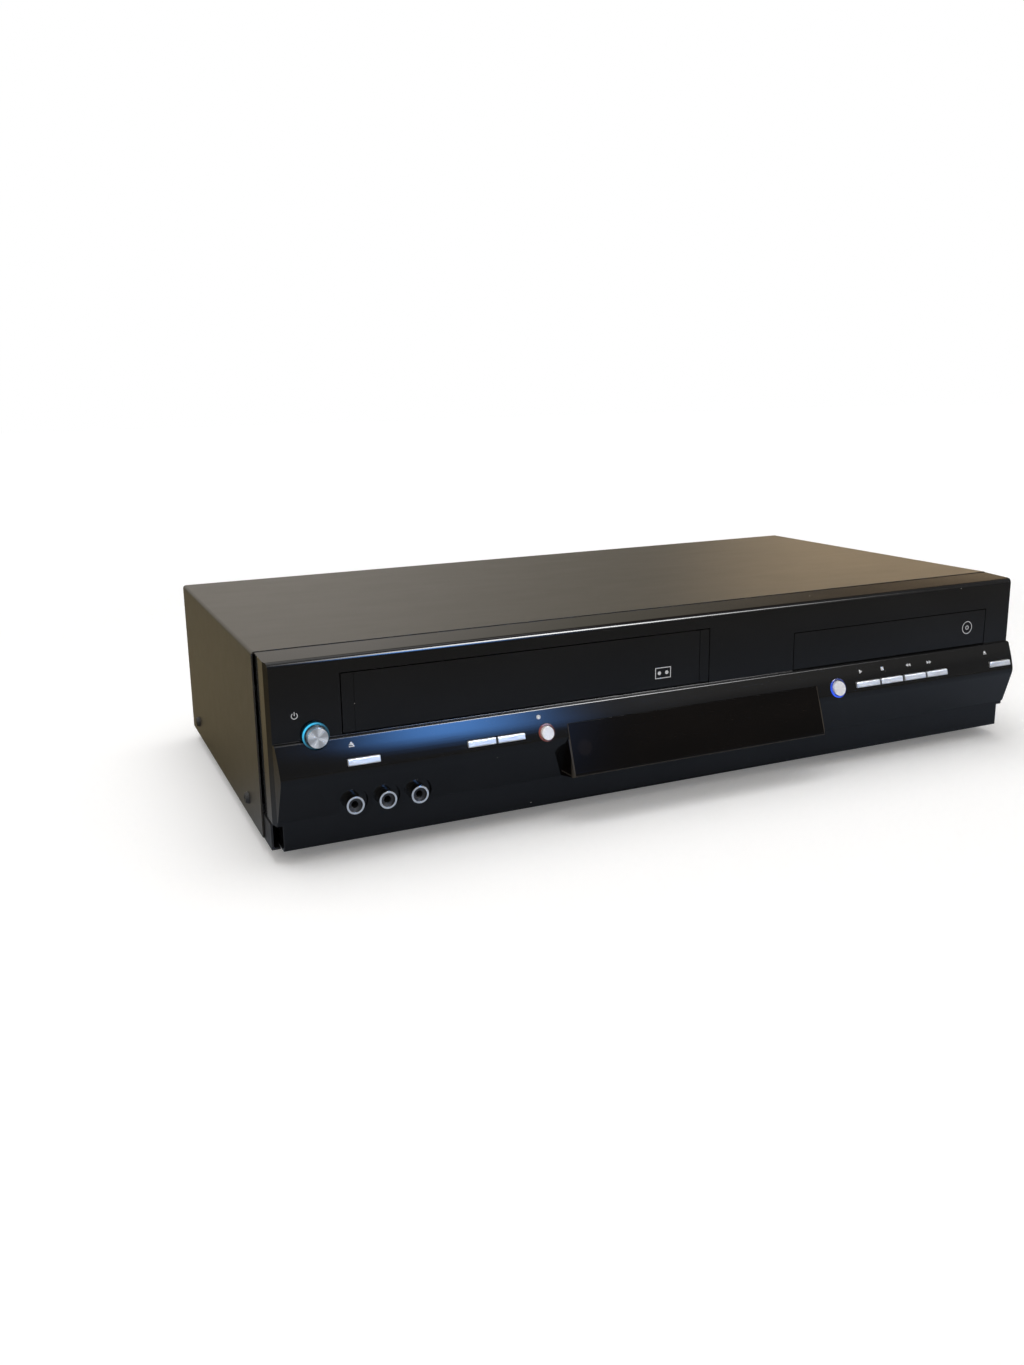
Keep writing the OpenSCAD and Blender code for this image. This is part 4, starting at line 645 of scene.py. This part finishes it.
COVER = PaintedSteel("cover_paint", "dark_paint", (0.03, 0.0265, 0.0205, 1), 0.36)
CASE_PAINT = PaintedSteel("case_paint", "dark_steel", paint(58, 58, 60), 0.42, 0.4)
CHASSIS = PaintedSteel("chassis_paint", "zinc_steel", paint(26, 26, 27), 0.45, 0.35)
ZINC = ZincSheet("zinc_plate", "zinc_steel", paint(196, 197, 199), 0.3)
FASCIA = GlossMoulding("fascia_gloss", "fascia_black", (0.0034, 0.0034, 0.0037, 1), 0.07, 0.2)
WINDOW = SmokedWindow("smoked_window", "lens_smoke", (0.003, 0.0021, 0.0016, 1), 0.05, 0.09)
# The bars' colour darkens beside the slits between them, as painted shade in the gaps.
BARS = BrushedMetal("satin_bar", "satin_silver", paint(210, 212, 214), 0.36, 0.5, (20, 1, 1), 0.5, 0.25,
                    slits=(-110.3, 115.0, 131.0, 146.95))
SCREWS = PaintedSteel("black_screw", "black_screw", paint(34, 34, 35), 0.35, 0.5, 0.3, 0.008)
PLATED = BrushedMetal("bright_plate", "bright_steel", paint(214, 213, 211), 0.2, 0.5, (4, 4, 4), 1.0, 0.5)
RUBBER = MattMoulding("black_rubber", "rubber_black", paint(27, 27, 27), 0.74, 0.25, 0.6, 0.02)
BLACK = MattMoulding("black_moulding", "black_plastic", paint(32, 32, 33), 0.5, 0.4)
GREEN = CircuitBoard("green_board", "board_green", paint(26, 78, 44), 0.38, 0.5, paint(48, 118, 62))
BROWN = CircuitBoard("brown_board", "board_brown", paint(150, 112, 66), 0.55, 0.3, paint(172, 132, 82))
TUBE = TubeGlass("tube_glass", "tube_glass", paint(42, 50, 50), 0.06)
MOTOR = BrushedMetal("motor_plate", "motor_metal", paint(186, 187, 190), 0.3, 0.5, (12, 12, 1))
NYLON = MattMoulding("ivory_nylon", "nylon", paint(226, 221, 206), 0.45, 0.4, 0.8, 0.008)
TAN = MattMoulding("tan_nylon", "brass_arm", paint(204, 186, 142), 0.45, 0.4, 0.8, 0.008)
PICKUP = MattMoulding("pickup_moulding", "dark_pickup", paint(62, 66, 72), 0.42, 0.4)
INK = PrintedInk("printed_ink", "fascia_black", paint(222, 224, 228), 0.5, 0.3)
SLEEVE = MattMoulding("capacitor_sleeve", "black_plastic", paint(30, 46, 98), 0.35, 0.5, 0.9, 0.004)
CORE = BrushedMetal("iron_core", "black_plastic", paint(92, 84, 76), 0.5, 0.4, (1, 20, 20))
FINS = BrushedMetal("heat_sink", "black_plastic", paint(168, 170, 172), 0.35, 0.5, (1, 1, 25))
# The drum's colour carries a painted highlight of two rays.
DRUM = TurnedMetal("drum_metal", "drum_metal", paint(216, 218, 221), 0.18, 0.5, (-85.75, -155.0, 30.0),
                   Axis.Z, 0.5, 0.35)


# ---- Bench ----

class Bench:
    """Hand tools for shaping meshes with Blender's operators."""

    SHARP = math.radians(32)
    FLAT = math.radians(0.4)
    WELD = 2e-6

    @staticmethod
    def clear() -> None:
        """Leaves edit mode and deselects everything."""
        if bpy.context.object and bpy.context.object.mode != "OBJECT":
            bpy.ops.object.mode_set(mode="OBJECT")
        bpy.ops.object.select_all(action="DESELECT")

    @classmethod
    def hold(cls, piece: Object) -> None:
        """Makes one piece the only selected one.

        Args:
            piece: The piece.
        """
        cls.clear()
        piece.hide_set(False)
        piece.select_set(True)
        bpy.context.view_layer.objects.active = piece

    @classmethod
    def copy_node(cls, node: str, name: str) -> Object:
        """Copies a solid and merges its loose triangles into plain faces.

        Args:
            node: The solid's name.
            name: The new piece's name.

        Returns:
            The new piece, at the origin.
        """
        source = frame["nodes"][node]
        piece = bpy.data.objects.new(name, source.data.copy())
        bpy.context.scene.collection.objects.link(piece)
        piece.data.name = name
        piece.data.materials.clear()
        cls.hold(piece)
        bpy.ops.object.mode_set(mode="EDIT")
        bpy.ops.mesh.select_mode(type="VERT")
        bpy.ops.mesh.select_all(action="SELECT")
        bpy.ops.mesh.remove_doubles(threshold=cls.WELD)
        bpy.ops.mesh.customdata_custom_splitnormals_clear()
        bpy.ops.mesh.dissolve_limited(angle_limit=cls.FLAT)
        bpy.ops.object.mode_set(mode="OBJECT")
        return piece

    @classmethod
    def soften(cls, piece: Object, edge: float) -> None:
        """Rounds a piece's sharp edges a little.

        Args:
            piece: The piece.
            edge: Width of the rounding in millimetres.
        """
        cls.hold(piece)
        bpy.ops.object.modifier_add(type="BEVEL")
        bevel = piece.modifiers[-1]
        bevel.width = edge * MM
        bevel.segments = 2
        bevel.limit_method = "ANGLE"
        bevel.angle_limit = cls.SHARP
        bevel.use_clamp_overlap = True
        bpy.ops.object.modifier_apply(modifier=bevel.name)

    @classmethod
    def smooth(cls, piece: Object) -> None:
        """Shades a piece smooth up to its sharp edges, with its large flat faces kept flat.

        Args:
            piece: The piece.
        """
        cls.hold(piece)
        bpy.ops.object.shade_smooth_by_angle(angle=cls.SHARP)
        bpy.ops.object.modifier_add(type="WEIGHTED_NORMAL")
        modifier = piece.modifiers[-1]
        modifier.keep_sharp = True
        bpy.ops.object.modifier_apply(modifier=modifier.name)

    @classmethod
    def settle(cls, piece: Object, turn: float, spot: Vector) -> None:
        """Leans a flat piece back about X, moves it, and puts its place in its mesh.

        Args:
            piece: The piece, modelled around the origin facing -Y.
            turn: The lean in radians.
            spot: Where its middle goes.
        """
        cls.hold(piece)
        piece.rotation_euler = (turn, 0, 0)
        piece.location = spot
        bpy.ops.object.transform_apply(location=True, rotation=True, scale=True)

    @classmethod
    def join(cls, pieces: Sequence[Object], name: str) -> Object:
        """Joins pieces into the first one.

        Args:
            pieces: The pieces.
            name: The joined piece's name.

        Returns:
            The joined piece.
        """
        cls.hold(pieces[0])
        for piece in pieces[1:]:
            piece.select_set(True)
        if len(pieces) > 1:
            bpy.ops.object.join()
        pieces[0].name = pieces[0].data.name = name
        return pieces[0]


# ---- Sub-assemblies ----

Solids = Tuple[Tuple[Finish, float, Tuple[str, ...]], ...]


@dataclass
class SubAssembly:
    """A group of pieces that are built and dressed together.

    Its solids are those that keep their shape, under their finish and the width of their rounded
    edges in millimetres, or 0 for none.
    """

    solids: Solids = ()
    made: List[Object] = field(default_factory=list)

    def body_of(self, node: str) -> str:
        """Gives the moving body that a solid belongs to."""
        return frame["nodes"][node]["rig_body"]

    def keep(self, piece: Object, finish: Finish, body: str, *nodes: str) -> None:
        """Dresses a piece, hangs it on its body and reports it.

        Args:
            piece: The piece.
            finish: Its finish.
            body: The moving body that it rides on.
            nodes: The solids that it stands for.
        """
        if not piece.data.materials:
            piece.data.materials.append(finish.material())
        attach(piece, body)
        if nodes:
            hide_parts(*nodes)
        self.made.append(piece)
        LOG.info("%s: %s, %d faces", type(self).__name__, piece.name, len(piece.data.polygons))

    def refine(self, node: str, finish: Finish, edge: float) -> None:
        """Gives a solid rounded edges, smooth shading and its finish.

        Args:
            node: The solid's name.
            finish: Its finish.
            edge: Width of its edges' rounding in millimetres, or 0 for none.
        """
        piece = Bench.copy_node(node, f"{node}_finished")
        if edge:
            Bench.soften(piece, edge)
        Bench.smooth(piece)
        self.keep(piece, finish, self.body_of(node), node)

    def build(self) -> None:
        """Builds and dresses the group's pieces."""
        for finish, edge, nodes in self.solids:
            for node in nodes:
                self.refine(node, finish, edge)


@dataclass
class Case(SubAssembly):
    """Steel cover, chassis, rear panel, feet and screws."""

    solids: Solids = (
        (COVER, 0.25, ("top_cover",)),
        (CHASSIS, 0.12, ("bottom_chassis",)),
        (CASE_PAINT, 0.12, ("rear_panel",)),
        (RUBBER, 0.4, ("feet",)),
        (SCREWS, 0.12, ("cover_screws",)),
        (PLATED, 0.1, ("mechanism_screws",)),
    )


@dataclass
class Fascia(SubAssembly):
    """The moulding across the front, with its door, tray front and window."""

    solids: Solids = (
        (FASCIA, 0.4, ("front_panel",)),
        (FASCIA, 0.25, ("cassette_door", "tray_bezel")),
        (WINDOW, 0.35, ("display_window",)),
        (PLATED, 0, ("door_spring",)),
    )


@dataclass
class Marks(SubAssembly):
    """Printed signs beside the controls, each a thin film of ink sunk a little into its place.

    The ledge and the belly are points (p, z) on the bulge's upper slope.
    """

    film: float = 0.05
    sunk: float = 0.03
    face_p: float = 20.4
    ledge: Tuple[float, float] = (22.4, 49.4)
    belly: Tuple[float, float] = (25.65, 41.7)

    def slope(self, z: float) -> Tuple[float, float]:
        """Gives how far the bulge's upper slope stands out at a height, and its lean in radians."""
        lean = (self.belly[0] - self.ledge[0]) / (self.ledge[1] - self.belly[1])
        return self.belly[0] - (z - self.belly[1]) * lean, math.atan(lean)

    def patch(self, corners: int, width: float, height: float, at: Tuple[float, float] = (0, 0),
              turn: float = 0.0) -> Object:
        """Models one inked patch, facing -Y.

        Args:
            corners: 3 for a triangle, 4 for a rectangle, more for a dot.
            width: Its width in millimetres.
            height: Its height in millimetres.
            at: Its middle in (x, z) in millimetres.
            turn: How far it is turned first, in radians.

        Returns:
            The patch.
        """
        Bench.clear()
        start = math.pi / corners if corners == 4 else 0.0
        bpy.ops.mesh.primitive_circle_add(
            vertices=corners, radius=0.5 * MM, fill_type="NGON", rotation=(math.pi / 2, start + turn, 0))
        piece = bpy.context.object
        bpy.ops.object.transform_apply(location=True, rotation=True, scale=True)
        reach = [max(v.co[i] for v in piece.data.vertices) - min(v.co[i] for v in piece.data.vertices)
                 for i in (0, 2)]
        bpy.ops.object.mode_set(mode="EDIT")
        bpy.ops.mesh.select_all(action="SELECT")
        bpy.ops.transform.resize(value=(width * MM / reach[0], 1, height * MM / reach[1]))
        self.thicken()
        bpy.ops.transform.translate(value=(at[0] * MM, 0, at[1] * MM))
        bpy.ops.object.mode_set(mode="OBJECT")
        return piece

    def thicken(self) -> None:
        """Gives the selected flat faces the film's thickness, towards -Y, and selects the whole film."""
        bpy.ops.mesh.extrude_region_move(TRANSFORM_OT_translate={"value": (0, -self.film * MM, 0)})
        bpy.ops.mesh.select_all(action="SELECT")
        bpy.ops.mesh.normals_make_consistent(inside=False)

    def arc(self, radius: float, line: float, gap: float = 0.0) -> Object:
        """Models a ring or an open arc, facing -Y.

        Args:
            radius: Its outer radius in millimetres.
            line: Its line's width in millimetres.
            gap: Half of the opening at the top, in radians.

        Returns:
            The arc.
        """
        Bench.clear()
        bpy.ops.mesh.primitive_circle_add(
            vertices=40, radius=radius * MM, fill_type="NOTHING", rotation=(math.pi / 2, 0, 0))
        piece = bpy.context.object
        bpy.ops.object.transform_apply(location=True, rotation=True, scale=True)
        bpy.ops.object.mode_set(mode="EDIT")
        bpy.ops.mesh.select_mode(type="VERT")
        if gap:
            bpy.ops.mesh.select_all(action="DESELECT")
            bpy.ops.object.mode_set(mode="OBJECT")
            for vertex in piece.data.vertices:
                vertex.select = abs(math.atan2(vertex.co.x, vertex.co.z)) < gap
            bpy.ops.object.mode_set(mode="EDIT")
            bpy.ops.mesh.delete(type="VERT")
        bpy.ops.mesh.select_all(action="SELECT")
        inner = (radius - line) / radius
        bpy.ops.mesh.extrude_edges_move(TRANSFORM_OT_translate={"value": (0, 0, 0)})
        bpy.ops.transform.resize(value=(inner, 1, inner), center_override=(0, 0, 0))
        bpy.ops.mesh.select_all(action="SELECT")
        self.thicken()
        bpy.ops.object.mode_set(mode="OBJECT")
        return piece

    def stick(self, name: str, films: Sequence[Object], x: float, z: float, body: str = "case",
              flat: bool = False) -> None:
        """Puts a sign on the fascia.

        Args:
            name: The sign's name.
            films: The patches that it is made of.
            x: Its place across, in millimetres.
            z: Its height in millimetres.
            body: The moving body that carries it.
            flat: Whether it lies on the flat upper face rather than on the slope.
        """
        sign = Bench.join(films, name)
        p, lean = (self.face_p, 0.0) if flat else self.slope(z)
        spot = place(x, p, z) + Vector((0, math.cos(lean), -math.sin(lean))) * self.sunk * MM
        Bench.settle(sign, -lean, spot)
        self.keep(sign, INK, body)

    def frame_of(self, width: float, height: float, line: float) -> List[Object]:
        """Models the four strokes of a rectangle's outline, whose sizes are in millimetres."""
        rows = [self.patch(4, width, line, (0, s * (height - line) / 2)) for s in (-1, 1)]
        return rows + [self.patch(4, line, height - 2 * line, (s * (width - line) / 2, 0)) for s in (-1, 1)]

    def lift(self, width: float, rise: float, bar: float, drop: float) -> List[Object]:
        """Models a triangle that points up, over a bar whose middle lies the drop below."""
        return [self.patch(3, width, rise, (0, 0.35)), self.patch(4, width, bar, (0, -drop))]

    def arrows(self, turn: float) -> List[Object]:
        """Models two small triangles side by side, turned in radians."""
        return [self.patch(3, 1.6, 1.9, (s * 0.85, 0), turn) for s in (-1, 1)]

    def build(self) -> None:
        """Builds the signs."""
        right = math.pi / 2
        tape = self.frame_of(9, 5.6, 0.4) + [self.patch(24, 1.9, 1.9, (s * 2.1, 0)) for s in (-1, 1)]
        self.stick("tape_sign", tape, -17.4, 58, "door", True)
        self.stick("disc_sign", [self.arc(3.6, 0.4), self.arc(1.2, 0.4)], 181.5, 60.2, "tray", True)
        self.stick("power_sign", [self.arc(1.5, 0.35, 0.55), self.patch(4, 0.35, 1.7, (0, 0.9))],
                   -202, 61, flat=True)
        self.stick("eject_sign", self.lift(2.5, 1.55, 0.5, 0.95), -178.4, 45.9)
        self.stick("record_sign", [self.patch(24, 2.1, 2.1)], -87.5, 45.8)
        self.stick("play_sign", [self.patch(3, 2.1, 2.2, (0, 0), right)], 103.4, 45.0)
        self.stick("stop_sign", [self.patch(4, 1.9, 1.9)], 118.1, 44.9)
        self.stick("rewind_sign", self.arrows(-right), 136.3, 44.8)
        self.stick("forward_sign", self.arrows(right), 150.9, 44.7)
        self.stick("open_close_sign", self.lift(2.2, 1.4, 0.45, 0.8), 192.2, 45.4)


@dataclass
class Controls(SubAssembly):
    """Bar buttons, round caps and their rings."""

    solids: Solids = (
        (BARS, 0.3, ("eject_button", "input_button", "speed_button", "play_button", "stop_button",
                     "rewind_button", "forward_button", "open_close_button")),
    )
    cap_edge: float = 0.3
    ring_edge: float = 0.2
    power: Point = (-193.6, 22.8, 51.5)
    record: Point = (-84.5, 26.0, 38.6)
    selector: Point = (86.8, 26.0, 38.6)

    def rings(self) -> None:
        """Parts the three rings and dresses each in its own painted glow."""
        looks = [
            PaintedGlowRing("cyan_ring", "ring_glow", (0.05, 0.55, 0.9, 1), 0.25, 0.5, self.power,
                    2.36, 3.5, 1.1, 0.02, 5.2),
            PaintedGlowRing("red_ring", "ring_glow", (0.2, 0.05, 0.03, 1), 0.25, 0.5, self.record,
                    2.6, 1.0, 1.0, 0.15, 3.2),
            PaintedGlowRing("blue_ring", "ring_glow", (0.03, 0.1, 0.8, 1), 0.25, 0.5, self.selector,
                    -2.4, 1.6, 1.1, 0.08, 3.9),
        ]
        whole = Bench.copy_node("light_rings", "ring_of_light")
        Bench.hold(whole)
        bpy.ops.object.mode_set(mode="EDIT")
        bpy.ops.mesh.select_all(action="SELECT")
        bpy.ops.mesh.separate(type="LOOSE")
        bpy.ops.object.mode_set(mode="OBJECT")
        for ring in list(bpy.context.selected_objects):
            middle = sum((v.co for v in ring.data.vertices), Vector()) / len(ring.data.vertices)
            finish = min(looks, key=lambda look: (place(*look.middle) - middle).length)
            ring.name = ring.data.name = finish.name
            Bench.soften(ring, self.ring_edge)
            Bench.smooth(ring)
            self.keep(ring, finish, self.body_of("light_rings"), "light_rings")

    def build(self) -> None:
        """Builds the controls."""
        super().build()
        # Each cap's colour carries a painted highlight of two rays, at a share of 0.75.
        caps = (("power", self.power, paint(232, 236, 241), 0.55, 0.42),
                ("record", self.record, paint(254, 253, 252), 0.1, 0.82),
                ("selector", self.selector, paint(253, 253, 255), 0.1, 0.82))
        for name, middle, tone, metal, dark in caps:
            finish = TurnedMetal(
                f"{name}_cap", "satin_silver", tone, 0.24, 0.5, middle, Axis.Y, 0.2, 0.75, metal, dark)
            self.refine(f"{name}_button", finish, self.cap_edge)
        self.rings()


@dataclass
class Sockets(SubAssembly):
    """Phono jacks, aerial sockets and the mains inlet."""

    solids: Solids = (
        (PLATED, 0.2, ("jack_shells",)),
        (BLACK, 0.15, ("jack_blocks",)),
        (BLACK, 0.2, ("ac_inlet",)),
        (PLATED, 0.15, ("tuner_module",)),
    )


@dataclass
class Boards(SubAssembly):
    """Circuit boards, their parts and the display tube.

    Spans are in millimetres: across from the power board's edge, or back from the cover's front edge.
    """

    solids: Solids = (
        (GREEN, 0.1, ("front_board", "main_board")),
        (BROWN, 0.1, ("power_board",)),
        (TUBE, 0.3, ("display_tube",)),
    )
    part_edge: float = 0.15
    power_span: Tuple[float, float] = (0, 38)
    core_span: Tuple[float, float] = (91, 129)
    fins_span: Tuple[float, float] = (135, 149)
    sleeve_z: float = 7.9
    power_sleeve_z: float = 5.7

    def parts(self) -> None:
        """Dresses each part on the boards by what it is."""
        piece = Bench.copy_node("board_parts", "board_parts_finished")
        Bench.soften(piece, self.part_edge)
        Bench.smooth(piece)
        plain, sleeve, core, fins = range(4)
        for finish in (BLACK, SLEEVE, CORE, FINS):
            piece.data.materials.append(finish.material())
        low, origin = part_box("power_board")[0], place(0, 0, 0)
        for face in piece.data.polygons:
            x, (_, y, above) = (face.center.x - low.x) / MM, (face.center - origin) / MM
            on_power = self.power_span[0] <= x <= self.power_span[1]
            kind = plain
            if on_power and self.core_span[0] < y < self.core_span[1]:
                kind = core
            elif on_power and self.fins_span[0] < y < self.fins_span[1]:
                kind = fins
            elif y >= 0 and above > (self.power_sleeve_z if on_power else self.sleeve_z):
                kind = sleeve
            face.material_index = kind
        self.keep(piece, BLACK, self.body_of("board_parts"), "board_parts")

    def build(self) -> None:
        """Builds the boards."""
        super().build()
        self.parts()


@dataclass
class TapeDeck(SubAssembly):
    """Everything that loads, threads and drives the tape."""

    solids: Solids = (
        (ZINC, 0.12, ("deck_plate", "cassette_housing", "cassette_holder")),
        (CASE_PAINT, 0.12, ("loading_slider",)),
        (DRUM, 0.2, ("lower_drum", "upper_drum")),
        (MOTOR, 0.1, ("capstan", "capstan_motor", "pinch_arm", "tape_heads")),
        (RUBBER, 0.25, ("pinch_roller",)),
        (NYLON, 0.1, ("supply_reel", "takeup_reel", "loading_gear")),
        (TAN, 0.1, ("supply_arm", "takeup_arm")),
    )


@dataclass
class DiscLoader(SubAssembly):
    """Everything that carries, clamps and reads the disc."""

    solids: Solids = (
        (BLACK, 0.15, ("loader_frame",)),
        (BLACK, 0.3, ("disc_tray",)),
        (ZINC, 0.12, ("clamp_bridge",)),
        (NYLON, 0.15, ("disc_clamp",)),
        (CASE_PAINT, 0.12, ("traverse_base",)),
        (PLATED, 0.15, ("guide_rods",)),
        (PICKUP, 0.15, ("turntable", "pickup")),
        (NYLON, 0.1, ("tray_gear", "drive_pulley")),
        (RUBBER, 0, ("drive_belt",)),
        (MOTOR, 0.15, ("loader_motor",)),
    )


# ---- Studio ----

@dataclass(frozen=True)
class Lamp:
    """One soft lamp."""

    name: str
    spot: Point
    aim: Point
    size: Tuple[float, float]
    power: float
    colour: Point = (1.0, 1.0, 1.0)
    shine: float = 1.0

    def build(self) -> None:
        """Adds the lamp, facing its aim."""
        data = bpy.data.lights.new(self.name, "AREA")
        data.shape = "RECTANGLE"
        data.size, data.size_y = self.size
        data.energy = self.power
        data.color = self.colour
        data.specular_factor = self.shine
        lamp = bpy.data.objects.new(self.name, data)
        bpy.context.scene.collection.objects.link(lamp)
        lamp.location = self.spot
        lamp.rotation_euler = (Vector(self.aim) - Vector(self.spot)).to_track_quat("-Z", "Y").to_euler()


@dataclass(frozen=True)
class Window:
    """A soft bright patch of the room that only shows in reflections.

    Its middle and half its width are in radians to the right of straight in front, and its heights are
    sines: where it starts, is brightest and begins to end.
    """

    middle: float
    reach: float
    low: float
    high: float
    end: float
    light: Point


@dataclass
class Studio:
    """Pale floor, soft light and the camera.

    The floor turns plain white from near to far, and its reflection is cool in front and warm behind.
    The colours of the walls and the ceiling go once round the room, from 0 to 1.
    """

    floor_size: float = 14.0
    near_far: Tuple[float, float] = (0.42, 0.85)
    to_front: Tuple[float, float] = (-0.2, -0.5)
    to_rear: Tuple[float, float] = (-0.15, 0.05)
    walls: Stops = (
        (0.0, (0.5, 0.5, 0.5)), (0.3, (0.3, 0.27, 0.2)), (0.5, (0.5, 0.46, 0.38)),
        (0.57, (0.5, 0.455, 0.385)), (0.61, (0.36, 0.33, 0.28)), (0.68, (0.32, 0.27, 0.21)),
        (0.72, (2.25, 1.65, 1.0)), (0.8, (2.25, 1.65, 1.0)), (0.95, (0.5, 0.5, 0.5)),
    )
    ceiling: Stops = (
        (0.0, (0.45, 0.45, 0.45)), (0.5, (0.75, 0.7, 0.64)), (0.59, (0.75, 0.7, 0.64)),
        (0.66, (0.36, 0.33, 0.27)), (0.74, (0.14, 0.11, 0.08)), (0.82, (0.14, 0.11, 0.08)),
        (0.95, (0.45, 0.45, 0.45)),
    )
    wall_top: Tuple[float, float] = (0.248, 0.115)
    eye: Point = (-0.305352, -0.556086, 0.202530)
    yaw: float = 0.4011
    pitch: float = 0.2217
    roll: float = -0.0212
    lens: float = 29.223
    shift: Tuple[float, float] = (0.02161, -0.03102)
    windows: Tuple[Window, ...] = (
        Window(0.395, 0.135, 0.2, 0.62, 0.56, (5.8, 19.0, 51.0)),
        Window(0.65, 0.41, 0.54, 0.63, 0.74, (70.0, 70.0, 70.5)),
        Window(0.66, 0.5, 0.2, 0.45, 0.7, (0.7, 0.67, 0.62)),
    )
    lamps: Tuple[Lamp, ...] = (
        Lamp("overhead", (-0.1, 0.1, 1.35), (0, 0.02, 0.05), (1.3, 1.1), 10.5),
        Lamp("fill", (-1.3, -1.5, 1.3), (0, 0, 0.05), (1.0, 1.0), 6.0, (1.0, 0.97, 0.93), 0.15),
    )

    def floor(self) -> None:
        """Lays the floor, white to the camera where no shadow falls."""
        Bench.clear()
        bpy.ops.mesh.primitive_plane_add(size=self.floor_size, location=(0, 0, -0.0001))
        floor = bpy.context.object
        floor.name = "floor"
        bpy.ops.object.transform_apply(location=True, rotation=True, scale=True)
        material = bpy.data.materials.new("pale_floor")
        graph = Graph(material)
        graph.set("Roughness", 0.9)
        graph.set("Specular IOR Level", 0.1)
        seen = graph.node("ShaderNodeLightPath", out="Is Camera Ray")
        shiny = graph.node("ShaderNodeLightPath", out="Is Glossy Ray")
        _, y, _ = graph.spot().parts()
        away, _ = graph.around(Vector((0, 0, 0)), Axis.Z)
        far = away.rise(*self.near_far)
        front = graph.mix(y.rise(*self.to_front), (0.58, 0.67, 0.83, 1), (0.58, 0.56, 0.52, 1))
        mirrored = graph.mix(y.rise(*self.to_rear), front, (0.32, 0.26, 0.15, 1))
        tone = graph.mix(shiny, grey(0.9), mirrored)
        graph.set("Base Color", graph.mix(seen, tone, graph.mix(far, grey(0.98), grey(0))))
        lit = graph.mix(far, grey(0.16), grey(1))
        graph.set("Emission Color", graph.mix(seen, grey(0), lit))
        graph.set("Emission Strength", 1.0)
        floor.data.materials.append(material)

    def world(self) -> None:
        """Lights the room: white to the camera, and pale walls with soft windows in reflections."""
        world = bpy.data.worlds.new("room")
        bpy.context.scene.world = world
        graph = Graph(world, "Background")
        x, y, z = graph.node("ShaderNodeTexCoord", out="Generated").parts()
        around = graph.maths("DIVIDE", graph.maths("ARCTAN2", x, y), math.pi) + 0.5
        walls, ceiling = (graph.node("ShaderNodeValToRGB", {"stops": stops}, {0: around})
                          for stops in (self.walls, self.ceiling))
        room = graph.mix(z.rise(*self.wall_top), ceiling, walls)
        aside = graph.maths("ARCTAN2", x, 0 - y)
        for window in self.windows:
            across = abs(aside - window.middle).rise(window.reach, 0)
            upright = z.rise(window.low, window.high) * z.rise(window.end + 0.1, window.end)
            bright = graph.node("ShaderNodeVectorMath", {"operation": "SCALE"}, {
                0: window.light, "Scale": across * upright})
            room = graph.node("ShaderNodeVectorMath", {"operation": "ADD"}, {0: room, 1: bright})
        path = {name: graph.node("ShaderNodeLightPath", out=f"Is {name} Ray")
                for name in ("Camera", "Glossy", "Transmission")}
        shown = graph.mix(path["Glossy"], (0.42, 0.41, 0.4, 1), room)
        seen = graph.maths("MAXIMUM", path["Camera"], path["Transmission"])
        graph.set("Color", graph.mix(seen, shown, grey(1)))
        graph.set("Strength", 1.0)

    def camera(self) -> None:
        """Places the camera."""
        across, sink = math.cos(self.pitch), math.sin(self.pitch)
        ahead = Vector((math.sin(self.yaw) * across, math.cos(self.yaw) * across, -sink))
        level = Vector((math.cos(self.yaw), -math.sin(self.yaw), 0))
        upright = level.cross(ahead)
        side = math.cos(self.roll) * level + math.sin(self.roll) * upright
        top = -math.sin(self.roll) * level + math.cos(self.roll) * upright
        data = bpy.data.cameras.new("eye")
        data.lens = self.lens
        data.sensor_width = 36
        data.shift_x, data.shift_y = self.shift
        data.clip_start = 0.01
        eye = bpy.data.objects.new("eye", data)
        bpy.context.scene.collection.objects.link(eye)
        turned = Matrix((side, top, -ahead)).transposed().to_4x4()
        turned.translation = Vector(self.eye)
        eye.matrix_world = turned
        bpy.context.scene.camera = eye

    def build(self) -> None:
        """Builds the studio."""
        self.floor()
        self.world()
        for lamp in self.lamps:
            lamp.build()
        self.camera()
        bpy.context.scene.view_settings.view_transform = "Standard"


def main() -> None:
    """Builds the studio and every sub-assembly in order."""
    logging.basicConfig(level=logging.INFO, format="%(message)s")
    Studio().build()
    for group in (Case(), Fascia(), Controls(), Marks(), Sockets(), Boards(), TapeDeck(), DiscLoader()):
        group.build()
        LOG.info("%s: %d pieces", type(group).__name__, len(group.made))


if __name__ == "__main__":
    main()
